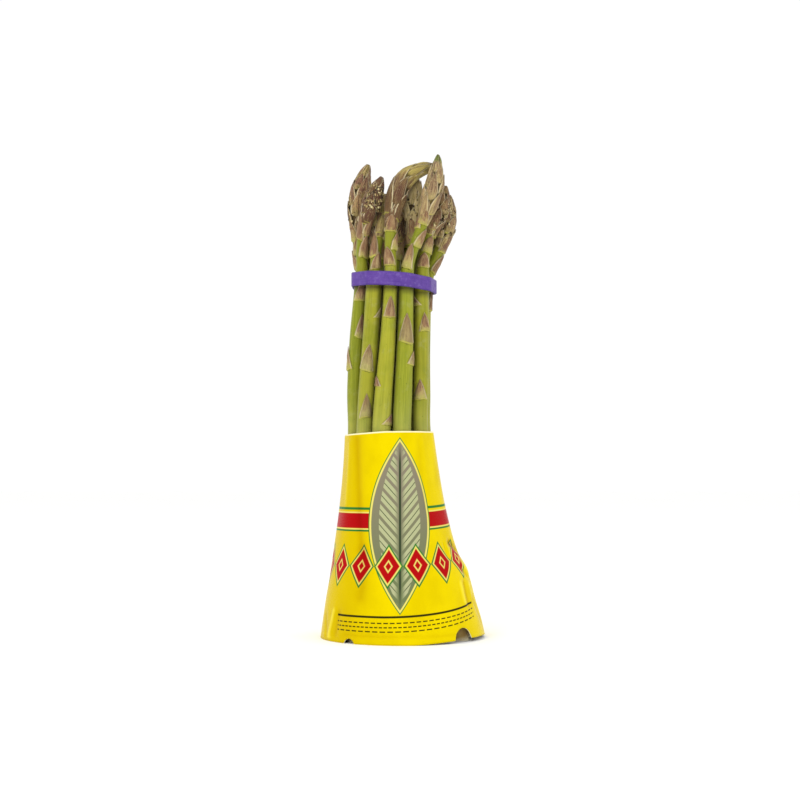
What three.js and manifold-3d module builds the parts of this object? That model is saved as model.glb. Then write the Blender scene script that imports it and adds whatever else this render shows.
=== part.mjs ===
// A bundle of green asparagus. Fourteen spears stand on their cut ends, held together by a rubber band
// below the heads and by a flared paper sleeve round the butts. Each spear is one solid: stem, head and
// scales. Millimetres, +Z up. The origin is the middle of the sleeve's foot, on the surface, and the
// front faces -Y.
import * as THREE from "three";
import { mergeVertices } from "three/addons/utils/BufferGeometryUtils.js";
import Module from "manifold-3d";

const wasm = await Module();
wasm.setup();

// ---------------------------------------------------------------- driving dimensions
const BAND_Z = 176; // height of the rubber band's middle at the bundle's axis
const BAND_WIDTH = 7.2;
const BAND_THICKNESS = 1.1;
const BAND_TILT = -0.075; // rise per mm along X
const BAND_MARGIN = 1.2; // scales keep this far above and below it
const BAND_CENTRE_X = -4.85;
const BAND_STEPS = 56; // flats round it
const BUNDLE_HALF_WIDTH = 20.1; // of the stems, where the band holds them
const BUNDLE_HALF_DEPTH = 19;
const STEM_GAP = 0.6; // left between neighbouring stems
const LAYER_GAP = 0.4; // left between the stems and what wraps them

const SLEEVE_TOP_Z = 101.5;
const SLEEVE_WALL = 0.7;
const SLEEVE_SEAM_STEP = 0.5; // the glued overlap stands this much proud
const SLEEVE_SEAM_ANGLES = [118, 131]; // degrees from +X towards +Y
const SLEEVE_SIDES = 32;

// How the bundle spreads below the band: height, middle of the bundle in X, spread of the seats, growth
// of girth.
const SPREAD = [
  { z: BAND_Z, x: BAND_CENTRE_X, spread: 1, girth: 1 },
  { z: 146, x: -6.5, spread: 1.015, girth: 1.015 },
  { z: 120, x: -6.95, spread: 1.04, girth: 1.035 },
  { z: SLEEVE_TOP_Z, x: -6.95, spread: 1.045, girth: 1.045 },
  { z: 50, x: -4.6, spread: 1.32, girth: 1.15 },
  { z: 0, x: -0.5, spread: 1.86, girth: 1.3 },
];

// The sleeve's outline from the foot up: height, middle in X, half width, and half depth as a share of it.
// The wall has a ring of corners at the rows marked ring, and only curves through the others.
const SLEEVE = [
  { z: 0, x: 0, halfWidth: 41.0, depth: 0.92, ring: true },
  { z: 10, x: -0.5, halfWidth: 39.2, depth: 0.925 },
  { z: 19.5, x: -1.2, halfWidth: 37.1, depth: 0.93, ring: true },
  { z: 27.5, x: -1.5, halfWidth: 35.4, depth: 0.935, ring: true },
  { z: 34.5, x: -2.1, halfWidth: 33.7, depth: 0.94 },
  { z: 42.5, x: -3.7, halfWidth: 31.0, depth: 0.95, ring: true },
  { z: 63.5, x: -5.1, halfWidth: 26.8, depth: 0.965, ring: true },
  { z: 83, x: -5.9, halfWidth: 24.2, depth: 0.97 },
  { z: SLEEVE_TOP_Z, x: -6.7, halfWidth: 22.4, depth: 0.97, ring: true },
];

// Half-round drain notches in the sleeve's foot: angle from +X towards +Y in degrees, radius, and height
// of centre.
const NOTCH_CUT = { depth: 14, sides: 16 };
const NOTCHES = [
  { angle: -43.5, radius: 4.9, z: 0.5 },
  { angle: -129.4, radius: 2.9, z: -0.6 },
  { angle: 46, radius: 5.6, z: 0.4 },
  { angle: 136, radius: 5.6, z: 0.4 },
];

// The spears. seat: place in the band, from the bundle's axis. girth: thickness at the band. growth: how
// much thicker than the common rule the stem is from the sleeve down. neck, full: thickness just below
// the head and of the head. head: its length. taper: bluntness of its tip. lean: how far the stem has
// moved along X at each row of SPREAD below the band; the last one holds to the foot. first: compass turn
// of the topmost scale, in degrees. path: the stem's line above the band, up to the tip. scales: height
// of the root, compass turn and length of each scale below the head. What isn't given follows the common
// rule.
const SPEARS = [
  { name: "spear_01", seat: [-16.4, -2.6], girth: 7.8, neck: 5.6, full: 9.0, head: 24,
    lean: [-0.5, -0.6, -0.1], first: 300,
    path: [[-20.6, -4.6, 194], [-18.9, -8.2, 205], [-14.6, -9.8, 218], [-10.6, -8.8, 228.6]],
    scales: [[197.6, 214, 12], [199.2, 334, 10.5], [187.4, 312, 13], [166.2, 270], [147.6, 305],
      [131.4, 188]] },
  { name: "spear_02", seat: [-9.1, -11.2], girth: 8.5, growth: 0.92, neck: 5.1, full: 8.2, head: 24,
    lean: [-0.2, -1.5, -2.3], first: 300,
    path: [[-13.6, -10.4, 187], [-12.0, -6.4, 199], [-9.6, -2.8, 211], [-9.0, -1.8, 221.5]],
    scales: [[203.4, 235, 9], [186.6, 222, 13.5], [181.2, 292, 8], [157.4, 340, 8], [130.6, 250, 13],
      [107.6, 278]] },
  { name: "spear_03", seat: [-1.2, -14.5], girth: 6.8, growth: 1.28, neck: 5.7, full: 9.2, head: 44,
    taper: 0.36, lean: [0.2, -1.3, -2.3], first: 250,
    path: [[-6.2, -13.8, 190], [-6.0, -13.2, 203], [-4.0, -12.4, 215.2], [-1.7, -11.6, 222.4],
      [1.9, -10.0, 227.8], [7.2, -7.0, 231.8], [15.6, -2.8, 235.4]],
    scales: [[199.4, 268, 8.5], [190.4, 345, 9], [182.4, 242, 9.5], [156.8, 278, 10.5], [122.8, 195, 5],
      [103.8, 330, 6]] },
  { name: "spear_04", seat: [6.5, -13.4], girth: 7.4, growth: 1.18, neck: 5.2, full: 9.6, head: 35,
    lean: [0.9, 0.2, -0.4], first: 285,
    path: [[2.6, -13.2, 183], [4.8, -13.2, 190.5], [8.4, -13.2, 200.5], [12.4, -12.8, 212.5],
      [15.8, -11.6, 226], [17.6, -9.8, 239.6]],
    scales: [[203, 262, 7.5], [200.6, 190, 6], [192.4, 330, 10], [180.9, 245, 13], [144.2, 282, 14.5],
      [133.5, 352, 7]] },
  { name: "spear_05", seat: [14.4, -7.4], girth: 7.6, growth: 0.95, neck: 5.9, full: 9.0, head: 26,
    lean: [1.1, 0.9, 0.7], first: 20,
    path: [[10.8, -6.6, 190], [14.0, -4.6, 203], [18.4, -4.6, 213], [21.6, -4.6, 225]],
    scales: [[201.4, 265, 9], [190, 300, 9], [182.6, 268, 7.3], [163.6, 212, 5.5], [150.8, 308, 9],
      [116.8, 262, 10]] },
  { name: "spear_06", seat: [16.2, 1.2], girth: 7.5, neck: 5.7, full: 9.0, head: 27, first: 330,
    path: [[13.4, 1.0, 182.5], [16.2, 2.0, 188.5], [19.2, 3.0, 196], [21.4, 3.8, 204], [22.9, 3.8, 212],
      [23.8, 3.4, 222]],
    scales: [[201.2, 245, 9], [192.2, 330, 10], [181.4, 345, 11], [161.8, 355], [128, 200]] },
  { name: "spear_07", seat: [12.8, 9.2], girth: 7.4, head: 24, first: 60,
    path: [[11.0, 9.6, 186], [14.6, 11.4, 197], [16.8, 12.4, 209], [18.2, 11.8, 222]] },
  { name: "spear_08", seat: [5.0, 13.4], girth: 7.9, head: 27, first: 110,
    path: [[3.0, 13.2, 194], [6.4, 12.6, 209], [7.6, 10.8, 225.5]] },
  { name: "spear_09", seat: [-3.4, 14.4], girth: 7.8, head: 26, first: 75,
    path: [[-6.8, 15.2, 193], [-6.0, 16.4, 206], [-7.4, 15.6, 219.5]] },
  { name: "spear_10", seat: [-11.2, 12.0], girth: 7.8, head: 26, first: 140,
    path: [[-18.6, 13.0, 192], [-19.6, 14.2, 206], [-17.0, 14.4, 221.5]] },
  { name: "spear_11", seat: [-15.6, 5.6], girth: 8.4, neck: 6.4, full: 10.8, head: 35, taper: 0.52,
    first: 225,
    path: [[-21.6, 5.0, 190], [-22.6, 3.6, 204], [-22.0, 2.4, 217], [-20.4, 1.4, 228], [-17.3, 1.0, 237]],
    scales: [[197.6, 205, 11], [191, 262, 10], [183.6, 188, 10], [154, 196]] },
  { name: "spear_12", seat: [7.6, -1.6], girth: 7.6, neck: 5.8, full: 9.2, head: 28, first: 95,
    path: [[5.0, -1.6, 187], [4.8, -2.8, 201], [5.4, -3.8, 214], [7.3, -3.6, 229.4]],
    scales: [[197.4, 255, 12], [195.4, 205, 5], [186, 60]] },
  { name: "spear_13", seat: [0, 3.0], girth: 7.9, head: 26, first: 40,
    path: [[-3.6, 3.6, 192], [-1.6, 4.4, 206], [0.0, 4.4, 221.5]] },
  { name: "spear_14", seat: [-7.6, 0.4], girth: 8.0, head: 24, first: 165,
    path: [[-12.6, 3.4, 190], [-11.6, 6.0, 202], [-11.0, 7.0, 214]] },
];

// Stem and scales
const STEM_SIDES = 8;
const STEM_RING_HEIGHTS = [42, 78, 102, 136]; // below the band
const NECK_RINGS = 3; // between the band and the head
const HEAD_RINGS = 3;
const NECK_SHARE = 0.74; // thickness just below the head, as a share of that at the band
const NECK_NARROWING = 0.35; // share of the way from band to head over which the stem narrows to its neck
const HEAD_SHARE = 1.68; // thickness of the head, as a share of the neck's
const HEAD_FILL = 2.3; // how far up the head keeps its thickness
const HEAD_TAPER = 0.64; // bluntness of its tip: lower is blunter
const SCALE_TURN = 137.5; // degrees from one scale to the next round the stem
// The following four are shares of the head's length.
const SCALE_START = 0.22; // from the tip to the root of the topmost scale
const SCALE_STEP = 0.094; // from one root to the next on the head
const HEAD_SCALE_LENGTH = 0.37;
const HEAD_SCALES_END = 1.06; // from the tip to where the stem's scales begin
const SCALE_SPREAD = 0.32; // below the head each step grows by this share of the distance to the head
const LONGEST_SCALE_STEP = 26;
const STEM_SCALE_LENGTH = 11;
const NECK_SCALE_LENGTH = 12.5; // above the band
const SCALE_SINK = 0.9; // depth of a scale's root in the stem
const SCALE_CLEAR = 0.6; // a scale is pressed flat until it stands this clear of the next stem
const SCALE_KEEL = 0.25; // the middle of a scale stands this much higher than its edges
// Rows of a scale: place along it, and half its width there as a share of its root's.
const HEAD_SCALE_ROWS = [{ along: 0, half: 1 }, { along: 0.5, half: 0.8 }, { along: 1, half: 0 }];
const STEM_SCALE_ROWS = [{ along: 0, half: 1 }, { along: 1, half: 0 }];
// Scales of the head, the neck and the stem: half the width in radians, and how far root and tip stand out.
const HEAD_SCALE = { rows: HEAD_SCALE_ROWS, halfTurn: 0.98, rootLift: 0.45, tipLift: 1.05 };
const NECK_SCALE = { rows: HEAD_SCALE_ROWS, halfTurn: 1.05, rootLift: 0.5, tipLift: 0.9 };
const STEM_SCALE = { rows: STEM_SCALE_ROWS, halfTurn: 1.05, rootLift: 0.75, tipLift: 0.6 };
const LOWEST_SCALE_Z = 103; // the sleeve hides the stems below this

const smooth = (t) => t * t * (3 - 2 * t);
const clamp01 = (t) => Math.min(1, Math.max(0, t));

// Reads a column of a table of rows sorted by z, eased between its rows.
function along(table, key, z) {
  const rows = [...table].sort((a, b) => a.z - b.z);
  const points = rows.map((row) => new THREE.Vector3(row.z, row[key], 0));
  const i = Math.max(0, Math.min(rows.length - 2, rows.findLastIndex((row) => row.z <= z)));
  const t = clamp01((z - rows[i].z) / (rows[i + 1].z - rows[i].z));
  const slope = (k) => {
    const a = points[Math.max(0, k - 1)];
    const b = points[Math.min(points.length - 1, k + 1)];
    return (b.y - a.y) / (b.x - a.x);
  };
  const step = rows[i + 1].z - rows[i].z;
  const h = [2 * t ** 3 - 3 * t ** 2 + 1, t ** 3 - 2 * t ** 2 + t, 3 * t ** 2 - 2 * t ** 3, t ** 3 - t ** 2];
  return h[0] * points[i].y + h[1] * step * slope(i) + h[2] * points[i + 1].y + h[3] * step * slope(i + 1);
}

// Moves the seats apart until no two stems crowd each other and all stand inside the band's oval.
function settle(spears) {
  const seats = spears.map((s) => new THREE.Vector2(...s.seat));
  for (let round = 0; round < 400; round++) {
    for (let i = 0; i < seats.length; i++) {
      for (let j = i + 1; j < seats.length; j++) {
        const apart = seats[j].clone().sub(seats[i]);
        const lack = (spears[i].girth + spears[j].girth) / 2 + STEM_GAP - apart.length();
        if (lack > 0) {
          apart.setLength(lack / 2);
          seats[i].sub(apart);
          seats[j].add(apart);
        }
      }
    }
    seats.forEach((seat, i) => {
      const r = spears[i].girth / 2;
      const out = Math.hypot(seat.x / (BUNDLE_HALF_WIDTH - r), seat.y / (BUNDLE_HALF_DEPTH - r));
      if (out > 1) seat.divideScalar(out);
    });
  }
  return seats;
}

// A spear's centreline from the cut end to the tip, with its length, thickness and frame at any distance.
class Line {
  constructor(spear, seat) {
    const leans = [0, ...(spear.lean ?? [])];
    const below = SPREAD.map((row, k) => {
      const lean = leans[Math.min(k, leans.length - 1)];
      return new THREE.Vector3(row.x + (seat.x + lean) * row.spread, seat.y * row.spread, row.z);
    }).reverse();
    const above = spear.path.map((p) => new THREE.Vector3(...p));
    this.curve = new THREE.CatmullRomCurve3([...below, ...above]);
    this.curve.arcLengthDivisions = 400;
    this.length = this.curve.getLength();
    this.spear = spear;
    this.samples = [];
    for (let k = 0; k <= 90; k++) {
      const s = (this.length * k) / 90;
      this.samples.push({ point: this.point(s), radius: this.radius(s) });
    }
  }
  point(s) {
    return this.curve.getPointAt(clamp01(s / this.length));
  }
  // The distance from the cut end at which the line is at a height.
  at(z) {
    let low = 0;
    let high = this.length;
    for (let k = 0; k < 30; k++) {
      const middle = (low + high) / 2;
      if (this.point(middle).z < z) low = middle;
      else high = middle;
    }
    return (low + high) / 2;
  }
  // Right and back vectors across the line, and its own direction.
  frame(s) {
    const direction = this.curve.getTangentAt(clamp01(s / this.length));
    const right = new THREE.Vector3(0, 1, 0).cross(direction).normalize();
    return { direction, right, back: direction.clone().cross(right) };
  }
  radius(s) {
    const { head, girth, growth = 1, taper = HEAD_TAPER } = this.spear;
    const { neck = girth * NECK_SHARE, full = neck * HEAD_SHARE } = this.spear;
    const fromTip = this.length - s;
    if (fromTip < head) {
      const q = clamp01(fromTip / head);
      return (neck / 2 + ((full - neck) / 2) * Math.sin(Math.PI * q)) * (1 - (1 - q) ** HEAD_FILL) ** taper;
    }
    const z = this.point(s).z;
    if (z > BAND_Z) {
      const bandToNeck = (z - BAND_Z) / (this.point(this.length - head).z - BAND_Z);
      return THREE.MathUtils.lerp(girth, neck, smooth(clamp01(bandToNeck / NECK_NARROWING))) / 2;
    }
    const down = clamp01((BAND_Z - z) / (BAND_Z - SLEEVE_TOP_Z));
    return (girth / 2) * along(SPREAD, "girth", z) * THREE.MathUtils.lerp(1, growth, smooth(down));
  }
  // A point beside the line: distance s from the cut end, compass turn in radians, distance from the axis.
  beside(s, turn, out) {
    const { right, back } = this.frame(s);
    return this.point(s)
      .addScaledVector(right, out * Math.cos(turn))
      .addScaledVector(back, out * Math.sin(turn));
  }
}

// Free space from a point to the nearest other stem's surface.
function room(point, own, lines) {
  let least = Infinity;
  for (const line of lines) {
    if (line === own) continue;
    for (const { point: p, radius } of line.samples) least = Math.min(least, p.distanceTo(point) - radius);
  }
  return least;
}

function geometryOf(points, faces) {
  const geometry = new THREE.BufferGeometry();
  const numbers = points.flatMap((p) => [p.x, p.y, p.z]);
  geometry.setAttribute("position", new THREE.Float32BufferAttribute(numbers, 3));
  geometry.setIndex(faces.flat());
  return geometry;
}

function solidOf(geometry) {
  const bare = geometry.clone();
  bare.deleteAttribute("normal");
  bare.deleteAttribute("uv");
  const merged = mergeVertices(bare, 1e-4);
  return new wasm.Manifold(new wasm.Mesh({
    numProp: 3,
    vertProperties: merged.attributes.position.array,
    triVerts: new Uint32Array(merged.index.array),
  }));
}

function geometryOfSolid(solid) {
  const mesh = solid.getMesh();
  const geometry = new THREE.BufferGeometry();
  geometry.setAttribute("position", new THREE.BufferAttribute(mesh.vertProperties, 3));
  geometry.setIndex(new THREE.BufferAttribute(mesh.triVerts, 1));
  geometry.computeVertexNormals();
  return geometry;
}

// Joins rings of points, all with the same count, into a closed skin, capped at its first and last ring.
function skin(rings) {
  const points = rings.flat();
  const sides = rings[0].length;
  const faces = [];
  for (let r = 0; r < rings.length - 1; r++) {
    for (let k = 0; k < sides; k++) {
      const a = r * sides + k;
      const b = r * sides + ((k + 1) % sides);
      faces.push([a, b, b + sides], [a, b + sides, a + sides]);
    }
  }
  const cap = (ring, first, outward) => {
    const middle = points.length;
    points.push(ring.reduce((m, p) => m.add(p), new THREE.Vector3()).divideScalar(sides));
    for (let k = 0; k < sides; k++) {
      const edge = [first + k, first + ((k + 1) % sides)];
      faces.push(outward ? [edge[0], edge[1], middle] : [edge[1], edge[0], middle]);
    }
  };
  cap(rings[0], 0, false);
  cap(rings.at(-1), (rings.length - 1) * sides, true);
  return geometryOf(points, faces);
}

// The bare stem and the head's core, cut flat at the foot.
function stemGeometry(line) {
  const { head } = line.spear;
  const neck = line.length - head;
  const { bandFoot, bandTop } = line;
  const lower = STEM_RING_HEIGHTS.map((z) => line.at(z));
  const stations = [0, ...lower, bandFoot, (bandFoot + bandTop) / 2, bandTop];
  for (let k = 1; k < NECK_RINGS; k++) stations.push(bandTop + ((neck - bandTop) * k) / NECK_RINGS);
  for (let k = 0; k <= HEAD_RINGS; k++) stations.push(neck + (head - 1.2) * (k / HEAD_RINGS) ** 0.85);
  const rings = stations.map((s) => {
    const ring = [];
    for (let k = 0; k < STEM_SIDES; k++) ring.push(line.beside(s, (2 * Math.PI * k) / STEM_SIDES, line.radius(s)));
    return ring;
  });
  const { direction } = line.frame(0);
  for (const p of rings[0]) p.addScaledVector(direction, -p.z / direction.z);
  return skin(rings);
}

// Where the scales of a spear sit, from the tip down: close together on the head, ever further apart on
// the stem.
function scalesOf(line) {
  const { head, first, scales: own } = line.spear;
  const scales = [];
  const add = (kind, root, degrees, length) =>
    scales.push({ ...kind, root, turn: THREE.MathUtils.degToRad(degrees), length });
  const addBelowHead = (root, degrees, length) => {
    if (line.point(root).z > BAND_Z) add(NECK_SCALE, root, degrees, length ?? NECK_SCALE_LENGTH);
    else add(STEM_SCALE, root, degrees, length ?? STEM_SCALE_LENGTH);
  };
  let fromTip = SCALE_START * head;
  for (let k = 0; fromTip < line.length; k++) {
    const root = line.length - fromTip;
    const degrees = first + k * SCALE_TURN;
    const growth = 0.75 + (0.35 * fromTip) / head; // the head's lower scales are longer
    if (fromTip < HEAD_SCALES_END * head) add(HEAD_SCALE, root, degrees, HEAD_SCALE_LENGTH * head * growth);
    else if (own) break;
    else addBelowHead(root, degrees);
    fromTip += Math.min(LONGEST_SCALE_STEP, SCALE_STEP * head + SCALE_SPREAD * Math.max(0, fromTip - 0.85 * head));
  }
  for (const [z, degrees, length] of own ?? []) addBelowHead(line.at(z), degrees, length);
  return scales;
}

// One scale as a closed wedge: a pointed shield that bends round the stem, with its root sunk in it.
// Where another spear stands close it is pressed flat, and it is left out where it would vanish.
function scaleGeometry(line, scale, lines) {
  const outer = [];
  const inner = [];
  let stands = 0;
  for (const row of scale.rows) {
    const s = Math.min(scale.root + row.along * scale.length, line.length - 0.2);
    const across = row.half ? [-1, 0, 1] : [0];
    for (const side of across) {
      const turn = scale.turn + side * row.half * scale.halfTurn;
      const keel = side === 0 ? SCALE_KEEL : 0;
      let lift = THREE.MathUtils.lerp(scale.rootLift, scale.tipLift, row.along) + keel;
      const radius = line.radius(s);
      while (lift > -0.2 && room(line.beside(s, turn, radius + lift), line, lines) < lift + SCALE_CLEAR) lift -= 0.1;
      stands = Math.max(stands, lift);
      outer.push(line.beside(s, turn, radius + lift));
      inner.push(line.beside(s, turn, Math.max(0.25, radius - SCALE_SINK)));
    }
  }
  if (stands < 0.25) return null;
  const pointed = scale.rows.length === 2;
  const upper = pointed
    ? [[0, 1, 3], [1, 2, 3]]
    : [[0, 1, 4], [0, 4, 3], [1, 2, 5], [1, 5, 4], [3, 4, 6], [4, 5, 6]];
  const rim = pointed ? [0, 1, 2, 3] : [0, 1, 2, 5, 6, 3];
  const n = outer.length;
  const faces = [...upper, ...upper.map(([a, b, c]) => [a + n, c + n, b + n])];
  rim.forEach((a, k) => {
    const b = rim[(k + 1) % rim.length];
    faces.push([a, a + n, b + n], [a, b + n, b]);
  });
  return geometryOf([...outer, ...inner], faces);
}

function spearGeometry(line, lines) {
  const solids = [solidOf(stemGeometry(line))];
  for (const scale of scalesOf(line)) {
    const inBand = scale.root + scale.length > line.bandFoot && scale.root < line.bandTop;
    const inSleeve = line.point(scale.root).z < LOWEST_SCALE_Z;
    const geometry = inBand || inSleeve ? null : scaleGeometry(line, scale, lines);
    if (geometry) solids.push(solidOf(geometry));
  }
  const whole = wasm.Manifold.union(solids);
  const parts = whole.decompose().sort((a, b) => b.volume() - a.volume());
  return geometryOfSolid(parts[0]);
}

// The band's path at one height: the outline of a loop stretched round all the stems, a given distance
// clear.
function hullPoint(lines, turn, clear) {
  const out = new THREE.Vector2(Math.cos(turn), Math.sin(turn));
  let best = null;
  for (const { x, y, radius } of lines.flatMap((line) => line.atBand)) {
    const reach = x * out.x + y * out.y + radius;
    if (!best || reach > best.reach) best = { reach, x, y, radius };
  }
  return new THREE.Vector2(best.x, best.y).addScaledVector(out, best.radius + clear);
}

function bandGeometry(lines) {
  const steps = BAND_STEPS;
  const section = [
    { clear: 0, z: -0.5 },
    { clear: 1, z: -0.5 },
    { clear: 1, z: 0.5 },
    { clear: 0, z: 0.5 },
  ];
  const points = [];
  const faces = [];
  for (let k = 0; k < steps; k++) {
    for (const corner of section) {
      const p = hullPoint(lines, (2 * Math.PI * k) / steps, LAYER_GAP + corner.clear * BAND_THICKNESS);
      const z = BAND_Z + (p.x - BAND_CENTRE_X) * BAND_TILT + corner.z * BAND_WIDTH;
      points.push(new THREE.Vector3(p.x, p.y, z));
    }
  }
  const n = section.length;
  for (let k = 0; k < steps; k++) {
    for (let c = 0; c < n; c++) {
      const a = k * n + c;
      const b = k * n + ((c + 1) % n);
      const c2 = ((k + 1) % steps) * n + ((c + 1) % n);
      const d = ((k + 1) % steps) * n + c;
      faces.push([a, d, c2], [a, c2, b]);
    }
  }
  return geometryOf(points, faces);
}

// The sleeve's wall at a height and a compass turn, a given distance in from its outer face.
function sleevePoint(z, turn, inset) {
  const half = along(SLEEVE, "halfWidth", z);
  const x = along(SLEEVE, "x", z);
  const depth = half * along(SLEEVE, "depth", z);
  return new THREE.Vector3(x + (half - inset) * Math.cos(turn), (depth - inset) * Math.sin(turn), z);
}

function sleeveGeometry() {
  const turns = [];
  for (let k = 0; k < SLEEVE_SIDES; k++) turns.push((k * 360) / SLEEVE_SIDES);
  const [seamFrom, seamTo] = SLEEVE_SEAM_ANGLES;
  turns.push(seamFrom - 0.4, seamFrom, seamTo, seamTo + 2);
  turns.sort((a, b) => a - b);
  const heights = SLEEVE.filter((row) => row.ring).map((row) => row.z);
  const rings = [];
  const ringAt = (z, inset, seam) => turns.map((degrees) => {
    const onSeam = seam && degrees >= seamFrom && degrees <= seamTo;
    return sleevePoint(z, THREE.MathUtils.degToRad(degrees), inset - (onSeam ? SLEEVE_SEAM_STEP : 0));
  });
  heights.forEach((z) => rings.push(ringAt(z, 0, true)));
  [...heights].reverse().forEach((z) => rings.push(ringAt(z, SLEEVE_WALL, false)));
  const points = rings.flat();
  const sides = turns.length;
  const faces = [];
  for (let r = 0; r < rings.length; r++) {
    const next = (r + 1) % rings.length;
    for (let k = 0; k < sides; k++) {
      const kk = (k + 1) % sides;
      faces.push([r * sides + k, r * sides + kk, next * sides + kk]);
      faces.push([r * sides + k, next * sides + kk, next * sides + k]);
    }
  }
  let solid = solidOf(geometryOf(points, faces));
  for (const { angle, radius, z } of NOTCHES) {
    const cutter = new THREE.CylinderGeometry(radius, radius, NOTCH_CUT.depth, NOTCH_CUT.sides);
    const turn = THREE.MathUtils.degToRad(angle);
    cutter.rotateZ(-Math.PI / 2);
    cutter.rotateZ(turn);
    const middle = sleevePoint(0, turn, 2);
    cutter.translate(middle.x, middle.y, z);
    solid = solid.subtract(solidOf(cutter));
  }
  return geometryOfSolid(solid);
}

// ---------------------------------------------------------------- the bundle
const asparagus = new THREE.MeshStandardMaterial({ color: 0x9aa83c, roughness: 0.55, metalness: 0 });
const rubber = new THREE.MeshStandardMaterial({ color: 0x6b46a8, roughness: 0.6, metalness: 0 });
const paper = new THREE.MeshStandardMaterial({ color: 0xf2d800, roughness: 0.35, metalness: 0 });

const seats = settle(SPEARS);
const lines = SPEARS.map((spear, i) => new Line(spear, seats[i]));
for (const line of lines) {
  // Where the band crosses the spear: at its foot, its middle and its top.
  const z = BAND_Z + (line.point(line.at(BAND_Z)).x - BAND_CENTRE_X) * BAND_TILT;
  const crossings = [-0.5, 0, 0.5].map((share) => line.at(z + share * (BAND_WIDTH + BAND_MARGIN)));
  line.bandFoot = crossings[0] - BAND_MARGIN / 2;
  line.bandTop = crossings[2] + BAND_MARGIN / 2;
  line.atBand = crossings.map((s) => {
    const { x, y } = line.point(s);
    return { x, y, radius: line.radius(s) / line.frame(s).direction.z };
  });
}

const bundle = new THREE.Group();
bundle.name = "asparagus_bundle";
for (const line of lines) {
  const mesh = new THREE.Mesh(spearGeometry(line, lines), asparagus);
  mesh.name = line.spear.name;
  bundle.add(mesh);
}
const band = new THREE.Mesh(bandGeometry(lines), rubber);
band.name = "rubber_band";
const sleeve = new THREE.Mesh(sleeveGeometry(), paper);
sleeve.name = "paper_sleeve";
bundle.add(band, sleeve);

export default bundle;
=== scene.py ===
# A bundle of green asparagus standing on its cut ends: fourteen spears, a rubber band round them below the
# heads, and a flared sleeve of printed paper round the butts. Tables and node trees work in millimetres, in
# the frame's own axes (+Z up, the front faces -Y); the finished meshes are in metres.
import math
import random
from bisect import bisect_right

import bpy
from bpy.props import FloatProperty, FloatVectorProperty, IntProperty, PointerProperty
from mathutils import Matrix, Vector
from mathutils.kdtree import KDTree


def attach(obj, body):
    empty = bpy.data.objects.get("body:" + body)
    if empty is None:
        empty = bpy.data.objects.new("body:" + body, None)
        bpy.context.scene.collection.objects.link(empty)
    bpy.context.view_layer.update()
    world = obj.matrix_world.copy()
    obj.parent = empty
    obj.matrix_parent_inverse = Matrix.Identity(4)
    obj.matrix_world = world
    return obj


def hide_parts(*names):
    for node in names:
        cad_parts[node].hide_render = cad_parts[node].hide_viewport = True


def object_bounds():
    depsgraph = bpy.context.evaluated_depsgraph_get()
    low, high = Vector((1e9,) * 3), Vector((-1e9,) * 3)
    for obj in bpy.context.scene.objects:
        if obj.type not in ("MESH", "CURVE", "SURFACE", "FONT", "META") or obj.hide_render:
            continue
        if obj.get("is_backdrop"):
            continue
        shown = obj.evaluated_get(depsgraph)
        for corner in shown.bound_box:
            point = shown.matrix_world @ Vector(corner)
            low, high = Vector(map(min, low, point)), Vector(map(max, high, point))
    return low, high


bl_info = {
    "name": "Asparagus Bundle",
    "version": (1, 0, 0),
    "blender": (4, 5, 0),
    "location": "3D View > Sidebar > Asparagus",
    "description": "Finishes a bundle of green asparagus: spears, rubber band, paper sleeve and stage",
    "category": "Object",
}

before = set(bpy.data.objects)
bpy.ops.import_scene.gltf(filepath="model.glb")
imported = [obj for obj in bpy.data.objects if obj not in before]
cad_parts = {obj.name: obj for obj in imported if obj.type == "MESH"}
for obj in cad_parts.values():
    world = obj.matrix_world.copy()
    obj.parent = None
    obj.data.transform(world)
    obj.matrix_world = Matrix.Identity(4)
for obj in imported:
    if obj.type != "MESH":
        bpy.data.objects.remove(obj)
FRAME_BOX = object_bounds()
MM = 0.001
BODY = "root"

# ---------------------------------------------------------------- the bundle's layout
BAND_Z = 176  # height of the band's middle at the bundle's axis
BAND_WIDTH = 7.2
BAND_THICKNESS = 1.1
BAND_TILT = -0.075  # rise per mm along X
BAND_MARGIN = 1.2  # scales keep this far above and below it
BAND_CENTRE_X = -4.85
BAND_CLEAR = 0.24  # left between the stems and the band
BAND_TRIM = 0.2  # the strap is this much narrower than the band's width, because it waves
BAND_WAVE = 0.8
BAND_EDGE_RADIUS = 0.4
BAND_CORNERS, BAND_ROWS = 180, 260  # points of its path, as stretched and as drawn
BAND_SECTION_STEP = 0.45  # between the points of its section
BUNDLE_HALF_WIDTH = 20.1  # of the stems, where the band holds them
BUNDLE_HALF_DEPTH = 19
STEM_GAP = 0.6  # left between neighbouring stems
SETTLING_ROUNDS = 400
SLEEVE_TOP_Z = 101.5

# How the bundle spreads below the band: height, middle in X, spread of the seats, growth of girth.
SPREAD = [
    (0, -0.5, 1.86, 1.3),
    (50, -4.6, 1.32, 1.15),
    (SLEEVE_TOP_Z, -6.95, 1.045, 1.045),
    (120, -6.95, 1.04, 1.035),
    (146, -6.5, 1.015, 1.015),
    (BAND_Z, BAND_CENTRE_X, 1, 1),
]

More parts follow.
